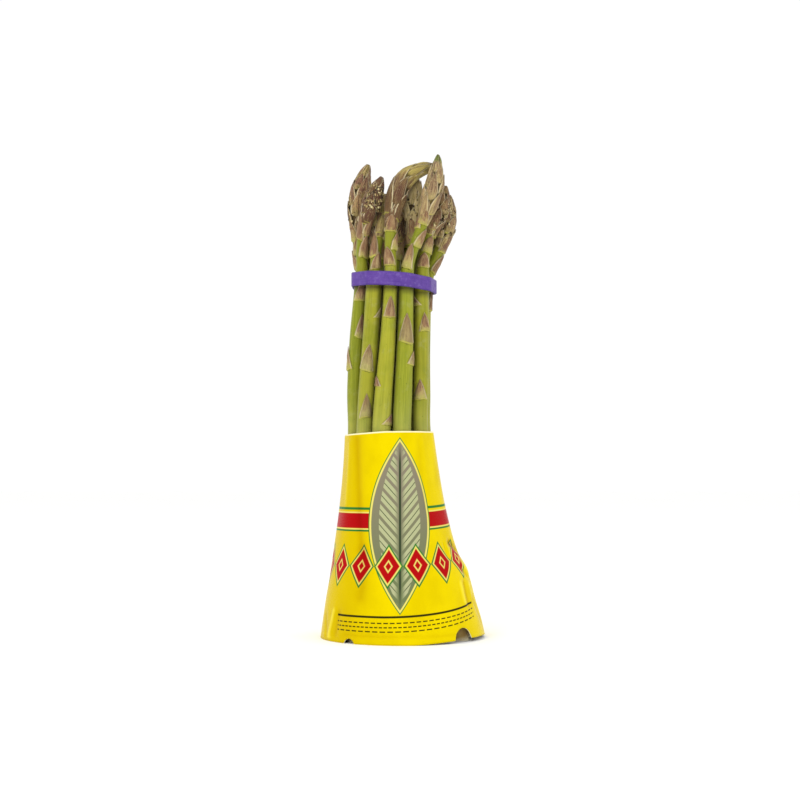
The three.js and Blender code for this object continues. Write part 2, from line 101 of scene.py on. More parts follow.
# The spears. Shape: seat in the band from the bundle's axis, thickness there (girth), its growth from the
# sleeve down, thickness just below the head (neck) and of the head (full), length of the head, bluntness of
# its tip (taper), lean along X at the rows of SPREAD from the band down, compass turn of the topmost scale,
# the line above the band up to the tip, and the root height, turn and length of each scale below the head.
# An opened head has loose buds: their number, their places from the tip as shares of the head, and their
# turns.
# Look: light is a lighter or, below 0, darker stem; tan is tan or, below 0, dark brown scales on the stem;
# pale is a paler or, below 0, darker head; olive turns it olive towards the tip; green_tip greens the very
# tip; step is the spacing of the head's scales as a share of its length. What isn't given follows the common
# rule.
SPEARS = {
    "spear_01": dict(
        seat=(-16.4, -2.6), girth=7.8, neck=5.6, full=9.0, head=24, lean=(-0.5, -0.6, -0.1), first=300,
        path=[(-20.6, -4.6, 194), (-18.9, -8.2, 205), (-14.6, -9.8, 218), (-10.6, -8.8, 228.6)],
        scales=[(197.6, 214, 12), (199.2, 334, 10.5), (187.4, 312, 13), (166.2, 270), (147.6, 305),
                (131.4, 188)],
        buds=(230, (0.24, 0.74), (222, 352)), pale=-0.95),
    "spear_02": dict(
        seat=(-9.1, -11.2), girth=8.5, growth=0.92, neck=5.1, full=8.2, head=24, lean=(-0.2, -1.5, -2.3),
        first=300, path=[(-13.6, -10.4, 187), (-12.0, -6.4, 199), (-9.6, -2.8, 211), (-9.0, -1.8, 221.5)],
        scales=[(203.4, 235, 9), (186.6, 222, 13.5), (181.2, 292, 8), (157.4, 340, 8), (130.6, 250, 13),
                (107.6, 278)],
        light=-0.25, tan=0.7, pale=0.3, olive=0.7, step=0.045),
    "spear_03": dict(
        seat=(-1.2, -14.5), girth=6.8, growth=1.28, neck=5.7, full=9.2, head=44, taper=0.36,
        lean=(0.2, -1.3, -2.3), first=250,
        path=[(-6.2, -13.8, 190), (-6.0, -13.2, 203), (-4.0, -12.4, 215.2), (-1.7, -11.6, 222.4),
              (1.9, -10.0, 227.8), (7.2, -7.0, 231.8), (15.6, -2.8, 235.4)],
        scales=[(199.4, 268, 8.5), (190.4, 345, 9), (182.4, 242, 9.5), (156.8, 278, 10.5), (122.8, 195, 5),
                (103.8, 330, 6)],
        light=0.2, pale=-0.8, olive=1.0, step=0.042),
    "spear_04": dict(
        seat=(6.5, -13.4), girth=7.4, growth=1.18, neck=5.2, full=9.6, head=35, lean=(0.9, 0.2, -0.4),
        first=285,
        path=[(2.6, -13.2, 183), (4.8, -13.2, 190.5), (8.4, -13.2, 200.5), (12.4, -12.8, 212.5),
              (15.8, -11.6, 226), (17.6, -9.8, 239.6)],
        scales=[(203, 262, 7.5), (200.6, 190, 6), (192.4, 330, 10), (180.9, 245, 13), (144.2, 282, 14.5),
                (133.5, 352, 7)],
        light=0.3, tan=0.6, green_tip=1.0, pale=0.6, step=0.048),
    "spear_05": dict(
        seat=(14.4, -7.4), girth=7.6, growth=0.95, neck=5.9, full=9.0, head=26, lean=(1.1, 0.9, 0.7),
        first=20, path=[(10.8, -6.6, 190), (14.0, -4.6, 203), (18.4, -4.6, 213), (21.6, -4.6, 225)],
        scales=[(201.4, 265, 9), (190, 300, 9), (182.6, 268, 7.3), (163.6, 212, 5.5), (150.8, 308, 9),
                (116.8, 262, 10)],
        buds=(56, (0.3, 0.85), (280, 375)), light=-0.3, pale=-0.5, step=0.048),
    "spear_06": dict(
        seat=(16.2, 1.2), girth=7.5, neck=5.7, full=9.0, head=27, first=330,
        path=[(13.4, 1.0, 182.5), (16.2, 2.0, 188.5), (19.2, 3.0, 196), (21.4, 3.8, 204), (22.9, 3.8, 212),
              (23.8, 3.4, 222)],
        scales=[(201.2, 245, 9), (192.2, 330, 10), (181.4, 345, 11), (161.8, 355), (128, 200)],
        buds=(70, (0.2, 0.8), (225, 330)), light=-0.2, tan=-0.4, pale=0.5, step=0.05),
    "spear_07": dict(
        seat=(12.8, 9.2), girth=7.4, head=24, first=60,
        path=[(11.0, 9.6, 186), (14.6, 11.4, 197), (16.8, 12.4, 209), (18.2, 11.8, 222)]),
    "spear_08": dict(
        seat=(5.0, 13.4), girth=7.9, head=27, first=110,
        path=[(3.0, 13.2, 194), (6.4, 12.6, 209), (7.6, 10.8, 225.5)]),
    "spear_09": dict(
        seat=(-3.4, 14.4), girth=7.8, head=26, first=75,
        path=[(-6.8, 15.2, 193), (-6.0, 16.4, 206), (-7.4, 15.6, 219.5)]),
    "spear_10": dict(
        seat=(-11.2, 12.0), girth=7.8, head=26, first=140,
        path=[(-18.6, 13.0, 192), (-19.6, 14.2, 206), (-17.0, 14.4, 221.5)]),
    "spear_11": dict(
        seat=(-15.6, 5.6), girth=8.4, neck=6.4, full=10.8, head=35, taper=0.52, first=225,
        path=[(-21.6, 5.0, 190), (-22.6, 3.6, 204), (-22.0, 2.4, 217), (-20.4, 1.4, 228), (-17.3, 1.0, 237)],
        scales=[(197.6, 205, 11), (191, 262, 10), (183.6, 188, 10), (154, 196)],
        buds=(24, (0.5, 0.95), (195, 260)), light=-0.2, pale=-0.1, step=0.042),
    "spear_12": dict(
        seat=(7.6, -1.6), girth=7.6, neck=5.8, full=9.2, head=28, first=95,
        path=[(5.0, -1.6, 187), (4.8, -2.8, 201), (5.4, -3.8, 214), (7.3, -3.6, 229.4)],
        scales=[(197.4, 255, 12), (195.4, 205, 5), (186, 60)],
        # its high pale and olive are partly painted light, lightening a head that sits in the others' shade
        buds=(40, (0.3, 0.8), (225, 300)), pale=1.8, olive=1.0, step=0.05),
    "spear_13": dict(
        seat=(0, 3.0), girth=7.9, head=26, first=40,
        path=[(-3.6, 3.6, 192), (-1.6, 4.4, 206), (0.0, 4.4, 221.5)]),
    "spear_14": dict(
        seat=(-7.6, 0.4), girth=8.0, head=24, first=165,
        path=[(-12.6, 3.4, 190), (-11.6, 6.0, 202), (-11.0, 7.0, 214)]),
}
OWN_LOOKS = ("light", "tan", "pale", "olive", "green_tip")

NECK_SHARE = 0.74  # thickness just below the head, as a share of that at the band
NECK_NARROWING = 0.35  # share of the way from band to head over which the stem narrows to its neck
HEAD_SHARE = 1.68  # thickness of the head, as a share of the neck's
HEAD_FILL = 2.3  # how far up the head keeps its thickness
HEAD_TAPER = 0.64  # bluntness of its tip: lower is blunter
CORE_SHARE = 0.9  # the head's core, under its scales, as a share of the head's own thickness
SCALE_TURN = 137.5  # degrees from one scale to the next round the stem
HEAD_FIRST = 0.1  # root of the topmost scale, from the tip, as a share of the head's length
HEAD_STEP = 0.04  # from one root to the next on the head, as a share of its length
HEAD_END = 1.06  # the head's scales stop here, counted the same way
STEM_FIRST = 0.22  # the stem's scales are counted from here, also from the tip
STEM_STEP = 0.094
STEM_SPREAD = 0.32  # below the head each step grows by this share of the distance to the head
LONGEST_STEP = 26
STEM_SCALE_LENGTH = 11
NECK_SCALE_LENGTH = 12.5  # above the band
LOWEST_SCALE_Z = 103  # the sleeve hides the stems below this
HEAD_HALF_TURN, NECK_HALF_TURN, STEM_HALF_TURN = 1.02, 1.28, 1.05  # half of a scale's reach round, in radians
# How far a scale stands off the stem at its left, middle and right, for its root, its middle and its tip.
NECK_LIFTS = ((0.5, 0.65, 0.5), (0.35, 0.75, 0.35), (0.5, 0.7, 0.5))
STEM_LIFTS = ((0.3, 0.7, 0.3), (0.3, 0.6, 0.3), (0.35, 0.45, 0.35))
COLLAR_LIFTS = ((0.3, 0.5, 0.3), (0.2, 0.5, 0.2), (0.2, 0.3, 0.2))
LIFT_ROWS = ("lift_root", "lift_middle", "lift_tip")
LIFT_PLACES = (0.04, 0.5, 1.0)  # where along a scale these are, as shares of its length
SCALE_NARROWING = 0.8  # the power by which a scale narrows towards its tip
TIP_CLEAR = 0.35  # a scale ends this far below the spear's tip,
LIFT_CLEAR = 0.2  # and its lifts are looked up this far below it
SCALE_CLEAR = 0.35  # left between the scales of neighbouring spears
SINK = -0.3  # a crowded scale may press this far into the stem
FAR = 12  # a neighbour further off than this doesn't count
SHADE_WITHIN = 3.6  # a stem's skin gets painted shade where the next one is this near
BAND_SHADE = 1.2  # how strongly painted shadow darkens the stems at the band's lower edge,
BAND_SHADE_DEPTH = 4.0  # and how far below it
BUD_SIZES = (0.28, 0.36, 0.45, 0.6)  # rough radii of the loose buds
KIND_HEAD, KIND_STEM, KIND_BUD = 0, 1, 2

LINE_STEPS = 170  # of the guide that a spear grows on
LINE_SAMPLES = 220  # places along a spear where its neighbours are told how thick it is
HALVINGS = 30  # of a spear's length, to find where it is at a height
STEM_SIDES, STEM_ROWS = 28, 150
CUT_ROWS = 4  # rings of faces that close a stem's cut end
PATCH_ACROSS, PATCH_UP = 5, 8  # points of a scale's patch
MERGE = 0.002  # points nearer than this are one

# The sleeve's outline from the foot up: height, middle in X, half width, half depth as a share of it.
SLEEVE = [
    (0, 0, 41.0, 0.92),
    (10, -0.5, 39.2, 0.925),
    (19.5, -1.2, 37.1, 0.93),
    (27.5, -1.5, 35.4, 0.935),
    (34.5, -2.1, 33.7, 0.94),
    (42.5, -3.7, 31.0, 0.95),
    (63.5, -5.1, 26.8, 0.965),
    (83, -5.9, 24.2, 0.97),
    (SLEEVE_TOP_Z, -6.7, 22.4, 0.97),
]
PAPER = 0.3  # its thickness
SEAM_TURN, SEAM_LAP = 118, 13  # compass turn of the sheet's hidden edge; the glued edge passes it by the lap
SHEET_START = math.radians(SEAM_TURN)
SHEET_END = math.radians(SEAM_TURN + SEAM_LAP + 360)
SHEET_COLUMNS, SHEET_ROWS, NOTCH_COLUMNS = 220, 100, 16
LAP_IN, LAP_OUT = 0.22, 0.4  # the hidden edge dips in by this, and the glued edge stands out by this,
LAP_IN_FADE, LAP_OUT_FADE = 1.6, 1.3  # fading over this many laps
SHEET_IN = 0.12  # the rest of the sheet lies this far inside the outline
PRESS = 0.22  # depth of the shallow waves where the stems press the paper
PRESS_WAVES, PRESS_DRIFT = 9, 0.8  # how many there are, and how unevenly they lie, in radians
# Half-round drain notches in the foot: compass turn, radius, height of centre.
NOTCHES = [(-43.5, 4.9, 0.5), (-129.4, 2.9, -0.6), (46, 5.6, 0.4), (136, 5.6, 0.4)]
NOTCH_INSET = 2  # their widths are measured this far inside the outline
NOTCH_SIDE = 0.02  # the column outside a notch stands this far off it
SAME_TURN = 1e-4  # columns nearer than this, in radians, are one
ARC_SHARE = 0.98  # an arc along the oval outline, as a share of that along its circle
TOP_DIP = 0.4  # the sleeve's top edge sinks by this from right to left,
TOP_TURN = 0.25  # is highest at this compass turn, in radians,
LEFT_DIP = 1.2  # and sinks by this more at its left end
FOOT_RISE = 1.9  # the lower edge stands off the ground by this at the front right
# Creases: two ends as (arc from the front centre, height), depth in, and half width.
CREASES = [
    ((33, 47), (42, 43), 1.5, 1.5), ((41, 39.5), (46, 33), -0.9, 2.3), ((38, 35), (43, 31), 0.7, 1.3),
    ((34, 28), (36, 19), -0.7, 1.1), ((38, 28), (40, 17), 0.7, 1.5), ((43, 27), (45, 18), -0.5, 1.2),
    ((27, 47), (29, 40), 0.35, 0.9), ((30, 46), (31.5, 40), -0.35, 0.8), ((46, 20), (54, 8), 0.5, 2.0),
    ((-38, 15), (-43, 3), -0.7, 1.2), ((-34, 14), (-38, 2), 0.5, 2.0), ((-49, 12), (-46, 2), 0.5, 1.4),
    ((-50, 3), (-38, 1.5), -0.4, 1.0), ((-18, 97), (-17, 45), 0.55, 3.2), ((-24, 95), (-27, 66), -0.3, 1.8),
    ((-16, 42), (-20, 22), 0.5, 4.0), ((15, 97), (17, 64), 0.3, 2.4), ((-30, 4), (30, 4), 0.35, 1.3),
]
DEEPEST_RIDGE = -0.5  # creases that stand out are cut off here

# The print, by height and by arc from the front centre. A stripe has its lower edge, upper edge and ink.
STRIPES = [(52.8, 53.7, "green"), (53.7, 54.4, "pale"), (54.4, 61.6, "red"), (61.6, 62.2, "pale"),
           (63.2, 64.4, "green")]
SAG_LOW, SAG_HIGH = 0.0019, 0.0007  # how fast the print sags towards the right, low down and higher up
SAG_LOW_Z, SAG_HIGH_Z = 10, 58
SAG_FROM, SAG_REACH = -12, 70  # where along the arc the sag starts, and how far it goes on
PANEL_U, PANEL_Z, PANEL_HALF_WIDTH, PANEL_HALF_HEIGHT = -1.5, 56.0, 14.0, 40.0
PANEL_OUTLINES = [(1.5, "green"), (1.0, "pale")]
LEAF_STEP = 7.5  # from one pair of leaves on the sprig to the next
LEAF_SLOPE = 1.15  # fall of a leaf outwards, per mm
LEAF_REACH = 0.72  # how far the leaves go, as a share of the panel's half width
LOZENGE_STEP, LOZENGE_Z, LOZENGE_HALF_WIDTH, LOZENGE_HALF_HEIGHT = 14.0, 36.5, 7.0, 10.5
# Sizes of the inks of a lozenge, as shares of the whole.
LOZENGE_RINGS = [(1.0, "green"), (0.88, "pale"), (0.76, "red"), (0.3, "pale"), (0.2, "red")]
RULES = [(13.0, 0.5, 0), (10.2, 0.28, 3.1), (8.2, 0.28, 2.3), (6.2, 0.28, 3.7)]  # height, half width, dash
RULE_ENDS = (-36, 42)
DASH_SHARE = 0.72  # of a dash and its gap together
PRINT_EDGE, LOZENGE_EDGE = 0.12, 0.03  # softness of a printed edge, in mm and as a share of a lozenge

LIGHTS_AIM = (0, 0, 0.12)
LIGHTS = [  # name, place and size in metres, and power
    ("Key", (-0.55, -0.85, 0.85), 0.7, 4.2),
    ("Fill", (0.85, -0.6, 0.45), 0.8, 1.3),
    ("Rim left", (-0.7, 0.5, 0.55), 0.5, 0.4),
    ("Rim right", (0.7, 0.45, 0.5), 0.5, 0.4),
]
FLOOR_REACH = 6.0
SENSOR_WIDTH = 36.0


# ---------------------------------------------------------------- lines and seats
def clamp(value, low=0.0, high=1.0):
    return min(high, max(low, value))


def smooth(t):
    return t * t * (3 - 2 * t)


def column(table, k, z):
    """Column k of a table of rows sorted by their first entry, eased between its rows."""
    i = max(0, min(len(table) - 2, sum(row[0] <= z for row in table) - 1))
    step = table[i + 1][0] - table[i][0]
    t = clamp((z - table[i][0]) / step)

    def slope(j):
        a, b = table[max(0, j - 1)], table[min(len(table) - 1, j + 1)]
        return (b[k] - a[k]) / (b[0] - a[0])

    return ((2 * t**3 - 3 * t**2 + 1) * table[i][k] + (t**3 - 2 * t**2 + t) * step * slope(i)
            + (3 * t**2 - 2 * t**3) * table[i + 1][k] + (t**3 - t**2) * step * slope(i + 1))


def settled_seats():
    """Moves the seats apart until no two stems crowd each other and all stand inside the band's oval."""
    spears = list(SPEARS.values())
    seats = [Vector(s["seat"]) for s in spears]
    for _ in range(SETTLING_ROUNDS):
        for i in range(len(seats)):
            for j in range(i + 1, len(seats)):
                apart = seats[j] - seats[i]
                lack = (spears[i]["girth"] + spears[j]["girth"]) / 2 + STEM_GAP - apart.length
                if lack > 0:
                    apart *= lack / 2 / apart.length
                    seats[i] -= apart
                    seats[j] += apart
        for seat, spear in zip(seats, spears):
            r = spear["girth"] / 2
            out = math.hypot(seat.x / (BUNDLE_HALF_WIDTH - r), seat.y / (BUNDLE_HALF_DEPTH - r))
            if out > 1:
                seat /= out
    return seats


def spline(points, steps=40):
    """A centripetal Catmull-Rom curve through the points, as a dense list of points."""
    ends = [points[0] * 2 - points[1], *points, points[-1] * 2 - points[-2]]
    out = []
    for p0, p1, p2, p3 in zip(ends, ends[1:], ends[2:], ends[3:]):
        d0, d1, d2 = ((b - a).length ** 0.5 for a, b in ((p0, p1), (p1, p2), (p2, p3)))
        m1 = ((p1 - p0) / d0 - (p2 - p0) / (d0 + d1) + (p2 - p1) / d1) * d1
        m2 = ((p2 - p1) / d1 - (p3 - p1) / (d1 + d2) + (p3 - p2) / d2) * d1
        square, cube = p2 * 3 - p1 * 3 - m1 * 2 - m2, p1 * 2 - p2 * 2 + m1 + m2
        out += [p1 + m1 * t + square * t**2 + cube * t**3 for t in (k / steps for k in range(steps))]
    return [*out, points[-1].copy()]


class Line:
    """A spear's centreline from the cut end to the tip, with its thickness and frame at any distance."""

    def __init__(self, name, seat):
        self.name = name
        self.spear = SPEARS[name]
        leans = [0, *self.spear.get("lean", ())]
        below = []
        for k, (z, x, spread, _) in enumerate(reversed(SPREAD)):
            lean = leans[min(k, len(leans) - 1)]
            below.insert(0, Vector((x + (seat.x + lean) * spread, seat.y * spread, z)))
        self.dense = spline([*below, *map(Vector, self.spear["path"])])
        self.reach = [0.0]
        for a, b in zip(self.dense, self.dense[1:]):
            self.reach.append(self.reach[-1] + (b - a).length)
        self.length = self.reach[-1]
        self.samples = [(self.point(s), self.radius(s)) for s in self.stations(LINE_SAMPLES)]
        half = (BAND_WIDTH + BAND_MARGIN) / 2
        self.band_foot = self.at(self.band_z() - half) - BAND_MARGIN / 2
        self.band_top = self.at(self.band_z() + half) + BAND_MARGIN / 2

    def stations(self, count):
        return [self.length * k / count for k in range(count + 1)]

    def point(self, s):
        s = clamp(s, 0, self.length)
        i = min(bisect_right(self.reach, s), len(self.reach) - 1) - 1
        share = (s - self.reach[i]) / (self.reach[i + 1] - self.reach[i])
        return self.dense[i].lerp(self.dense[i + 1], share)

    def direction(self, s):
        return (self.point(s + 0.5) - self.point(s - 0.5)).normalized()

    def at(self, z):
        """The distance from the cut end at which the line is at a height, found by halving."""
        low, high = 0.0, self.length
        for _ in range(HALVINGS):
            middle = (low + high) / 2
            low, high = (middle, high) if self.point(middle).z < z else (low, middle)
        return (low + high) / 2

    def band_z(self):
        """The height of the band's middle where this spear passes through it."""
        return band_middle(self.point(self.at(BAND_Z)).x)

    def radius(self, s):
        head, girth, taper = self.spear["head"], self.spear["girth"], self.spear.get("taper", HEAD_TAPER)
        neck = self.spear.get("neck", girth * NECK_SHARE)
        full = self.spear.get("full", neck * HEAD_SHARE)
        from_tip = self.length - s
        if from_tip < head:
            q = clamp(from_tip / head)
            return (neck + (full - neck) * math.sin(math.pi * q)) / 2 * (1 - (1 - q) ** HEAD_FILL) ** taper
        z = self.point(s).z
        if z > BAND_Z:
            band_to_neck = (z - BAND_Z) / (self.point(self.length - head).z - BAND_Z)
            return (girth + (neck - girth) * smooth(clamp(band_to_neck / NECK_NARROWING))) / 2
        below = smooth(clamp((BAND_Z - z) / (BAND_Z - SLEEVE_TOP_Z)))
        return girth / 2 * column(SPREAD, 3, z) * (1 + (self.spear.get("growth", 1) - 1) * below)

    def beside(self, s, turn, out):
        """A point beside the line: distance from the cut end, compass turn in radians, distance out."""
        direction = self.direction(s)
        right = Vector((0, 1, 0)).cross(direction).normalized()
        back = direction.cross(right)
        return self.point(s) + right * (out * math.cos(turn)) + back * (out * math.sin(turn))


def band_middle(x):
    """The height of the band's middle at a place along X."""
    return BAND_Z + (x - BAND_CENTRE_X) * BAND_TILT


def bundle_lines():
    return [Line(name, seat) for name, seat in zip(SPEARS, settled_seats())]


class Neighbours:
    """Tells how much free space there is between a spear's surface and the other spears."""

    def __init__(self, own, lines):
        self.line = own
        samples = [pair for line in lines if line is not own for pair in line.samples]
        self.radii = [radius for _, radius in samples]
        self.tree = KDTree(len(samples))
        for k, (point, _) in enumerate(samples):
            self.tree.insert(point, k)
        self.tree.balance()

    def room(self, point):
        """How far it is from a point to the nearest other stem."""
        near = self.tree.find_range(point, FAR)
        return min((distance - self.radii[k] for _, k, distance in near), default=FAR)

    def lift(self, s, turn, wish):
        """The wished height over the stem, or as much of it as leaves the neighbour the same space."""
        gap = self.room(self.line.beside(s, turn, self.line.radius(s)))
        return clamp(wish, SINK, max(SINK, (gap - SCALE_CLEAR) / 2))

    def crowding(self, point):
        """Painted shade: from 0 in the open to 1 where the next stem or the band all but touches, above the
        sleeve.
        """
        if point.z < SLEEVE_TOP_Z:
            return 0.0
        band_edge = band_middle(point.x) - BAND_WIDTH / 2
        by_stem = (SHADE_WITHIN - self.room(point)) / (SHADE_WITHIN - STEM_GAP)
        by_band = BAND_SHADE * (1 - (band_edge - point.z) / BAND_SHADE_DEPTH) if point.z < band_edge else 0.0
        return max(clamp(by_stem), clamp(by_band))


class Planting:
    """Where the scales and the loose buds of a spear sit, with their size and how far they stand out."""

    def __init__(self, line, neighbours, rng):
        self.line, self.neighbours, self.rng = line, neighbours, rng
        self.head, self.first = line.spear["head"], line.spear["first"]
        self.seeds = []
        self.plant_head()
        self.plant_collar()
        self.plant_stem()
        self.plant_buds()

    def add(self, kind, root, degrees, length, half, lifts, shape=0.0):
        """Plants one. Its wished lifts shrink where a neighbour is near."""
        turn = math.radians(degrees)
        seed = dict(kind=kind, root=root, turn=turn, length=length, half=half, shape=shape)
        seed["seed"] = self.rng.random()
        for name, along, wishes in zip(LIFT_ROWS, LIFT_PLACES, lifts):
            s = min(root + along * length, self.line.length - LIFT_CLEAR)
            width = half * (1 - along) ** SCALE_NARROWING
            seed[name] = [self.neighbours.lift(s, turn + side * width, wish)
                          for side, wish in zip((-1, 0, 1), wishes)]
        self.seeds.append(seed)

    def add_stem_scale(self, root, degrees, length=None):
        """A scale below the head, wider and looser above the band than below it."""
        draw = self.rng.uniform
        if self.line.point(root).z > BAND_Z:
            length = length or NECK_SCALE_LENGTH * draw(0.85, 1.05)
            self.add(KIND_STEM, root, degrees, length, NECK_HALF_TURN * draw(0.9, 1.06), NECK_LIFTS, 1.0)
        else:
            length = length or STEM_SCALE_LENGTH * draw(0.9, 1.12)
            self.add(KIND_STEM, root, degrees, length, STEM_HALF_TURN * draw(0.92, 1.1), STEM_LIFTS)

    def plant_head(self):
        """The head's scales from the topmost down: close at the tip, looser below and in an opened head."""
        head, draw = self.head, self.rng.uniform
        step = self.line.spear.get("step", HEAD_STEP) * head
        stray = 0.7 if "buds" in self.line.spear else 0.45
        from_tip, k = HEAD_FIRST * head, 0
        while from_tip < HEAD_END * head:
            q = from_tip / head
            length = head * (0.25 + 0.15 * q) * draw(0.85, 1.15)
            loose = smooth(clamp(q / 0.4))
            fullness = 0.6 + 0.5 * math.sin(math.pi * clamp(q)) + draw(-0.15, 0.3)
            belly = fullness * (0.35 + 0.65 * loose)
            tip = (0.25 + 0.6 * clamp(q) + draw(-0.2, stray)) * loose
            foot, edge = 0.35 + 0.35 * loose, 0.1 + 0.35 * loose
            lifts = ((foot * 0.5, foot, foot * 0.5), (edge, belly, edge), (tip, tip, tip))
            self.add(KIND_HEAD, self.line.length - from_tip, self.first + k * SCALE_TURN + draw(-12, 12),
                     length, HEAD_HALF_TURN * draw(0.8, 1.1), lifts, self.rng.random())
            from_tip += step * (0.75 + 0.7 * q)
            k += 1

    def plant_collar(self):
        """Four scales that close the head's foot."""
        for k in range(4):
            degrees = self.first + 60 + 90 * k + self.rng.uniform(-15, 15)
            self.add(KIND_HEAD, self.line.length - HEAD_END * self.head, degrees,
                     self.head * self.rng.uniform(0.3, 0.4), HEAD_HALF_TURN, COLLAR_LIFTS, self.rng.random())

    def plant_stem(self):
        """The stem's scales, where the spear's own list puts them or, without one, by the common rule."""
        line, head, own = self.line, self.head, self.line.spear.get("scales")
        from_tip, k = STEM_FIRST * head, 0
        while from_tip < line.length and not own:
            root = line.length - from_tip
            in_band = root + STEM_SCALE_LENGTH > line.band_foot and root < line.band_top
            if from_tip > HEAD_END * head and not in_band and line.point(root).z > LOWEST_SCALE_Z:
                self.add_stem_scale(root, self.first + k * SCALE_TURN)
            from_tip += min(LONGEST_STEP, STEM_STEP * head + STEM_SPREAD * max(0, from_tip - 0.85 * head))
            k += 1
        for z, degrees, *length in own or []:
            self.add_stem_scale(line.at(z), degrees, *length)

    def plant_buds(self):
        """The loose buds of an opened head."""
        draw = self.rng.uniform
        count, places, turns = self.line.spear.get("buds", (0, None, None))
        for _ in range(count):
            root = self.line.length - self.head * draw(*places)
            lift = draw(0.35, 1.2)
            self.add(KIND_BUD, root, draw(*turns), self.rng.choice(BUD_SIZES), 0.1, ((lift,) * 3,) * 3)


# ---------------------------------------------------------------- node trees
def linear(hexadecimal):
    """A colour written as RRGGBB, in the linear values that nodes take."""
    channels = [int(hexadecimal[k:k + 2], 16) / 255 for k in (0, 2, 4)]
    return (*(c / 12.92 if c <= 0.04045 else ((c + 0.055) / 1.055) ** 2.4 for c in channels), 1.0)


def ink(colour):
    return linear(colour) if isinstance(colour, str) else colour


def socket_of(sockets, key):
    """The socket at an index, or the enabled one of that name."""
    if isinstance(key, int):
        return sockets[key]
    return next(s for s in sockets if s.name == key and s.enabled)


class Field:
    """A value inside a node tree. Arithmetic on it adds Math nodes."""

    def __init__(self, build, socket):
        self.build = build
        self.socket = socket

    def __neg__(self):
        return self * -1

    def __abs__(self):
        return self.build.math("ABSOLUTE", self)


for sign, operation in (("add", "ADD"), ("sub", "SUBTRACT"), ("mul", "MULTIPLY"), ("truediv", "DIVIDE"),
                        ("pow", "POWER")):
    setattr(Field, f"__{sign}__", lambda own, other, kind=operation: own.build.math(kind, own, other))
    setattr(Field, f"__r{sign}__", lambda own, other, kind=operation: own.build.math(kind, other, own))


class Build:
    """Adds nodes to a tree, joined by what is fed to them."""

    def __init__(self, tree):
        self.tree = tree

    def feed(self, socket, value):
        if isinstance(value, Field):
            self.tree.links.new(value.socket, socket)
        elif value is not None:
            socket.default_value = value

    def node(self, kind, *values, **words):
        """Values feed the first inputs, capitalised words the inputs of that name; others are settings."""
        node = self.tree.nodes.new(kind)
        feeds = dict(enumerate(values))
        for word, value in words.items():
            if word[0].isupper():
                feeds[word.replace("_", " ")] = value
            else:
                setattr(node, word, value)
        for key, value in feeds.items():
            self.feed(socket_of(node.inputs, key), value)
        return node

    def outputs(self, kind, *values, **words):
        return {s.name: Field(self, s) for s in self.node(kind, *values, **words).outputs if s.enabled}

    def field(self, kind, *values, output=0, **words):
        return Field(self, socket_of(self.node(kind, *values, **words).outputs, output))

    def math(self, operation, *values):
        return self.field("ShaderNodeMath", *values, operation=operation)

    def minimum(self, a, b):
        return self.math("MINIMUM", a, b)

    def maximum(self, a, b):
        return self.math("MAXIMUM", a, b)

    def vector(self, operation, *values, **words):
        return self.field("ShaderNodeVectorMath", *values, operation=operation, **words)

    def scaled(self, vector, by):
        return self.vector("SCALE", vector, Scale=by)

    def combine(self, x=0.0, y=0.0, z=0.0):
        return self.field("ShaderNodeCombineXYZ", x, y, z)

    def parts(self, vector):
        return list(self.outputs("ShaderNodeSeparateXYZ", vector).values())

    def ramp(self, value, low, high, *ends, kind="SMOOTHSTEP"):
        """Goes from 0 to 1, to a given end or between two ends, while the value goes from low to high."""
        start, end = ends if len(ends) == 2 else (0, *ends, 1)[:2]
        return self.field("ShaderNodeMapRange", value, low, high, start, end, interpolation_type=kind)

    def mix(self, share, a, b):
        return self.field("ShaderNodeMix", data_type="FLOAT", output="Result", Factor=share, A=a, B=b)

    def tint(self, share, a, b, blend="MIX"):
        return self.field("ShaderNodeMix", data_type="RGBA", blend_type=blend, output="Result",
                          Factor=share, A=ink(a), B=ink(b))

    def noise(self, where, scale=1.0, detail=2.0, roughness=0.5):
        return self.field("ShaderNodeTexNoise", output="Fac",
                          Vector=where, Scale=scale, Detail=detail, Roughness=roughness)


class GeometryBuild(Build):
    """A geometry node tree with named inputs."""

    def __init__(self, name, **inputs):
        super().__init__(bpy.data.node_groups.new(name, "GeometryNodeTree"))
        self.tree.is_modifier = True
        for label, kind in inputs.items():
            label = label.replace("_", " ")
            self.tree.interface.new_socket(label, in_out="INPUT", socket_type="NodeSocket" + kind)
        self.tree.interface.new_socket("Geometry", in_out="OUTPUT", socket_type="NodeSocketGeometry")
        self.source = self.tree.nodes.new("NodeGroupInput")

    def given(self, label):
        return Field(self, self.source.outputs[label])

    def geo(self, kind, *values, **words):
        return self.field("GeometryNode" + kind, *values, **words)

    def attribute(self, name, kind="FLOAT"):
        return self.geo("InputNamedAttribute", output="Attribute", data_type=kind, Name=name)

    def store(self, geometry, name, value, kind="FLOAT"):
        return self.geo("StoreNamedAttribute", geometry, data_type=kind, Name=name, Value=value)

    def join(self, *geometries):
        node = self.tree.nodes.new("GeometryNodeJoinGeometry")
        for geometry in reversed(geometries):
            self.tree.links.new(geometry.socket, node.inputs[0])
        return Field(self, node.outputs[0])

    def dressed(self, geometry, label, shade_smooth=True):
        """Real geometry, with its shading and the material of an input."""
        real = self.geo("RealizeInstances", geometry)
        shaded = self.geo("SetShadeSmooth", real, Shade_Smooth=shade_smooth)
        return self.geo("SetMaterial", shaded, Material=self.given(label))

    def end(self, geometry):
        self.node("NodeGroupOutput", geometry)
        return self.tree

    def end_in_metres(self, geometry):
        return self.end(self.geo("Transform", geometry, Scale=(MM, MM, MM)))


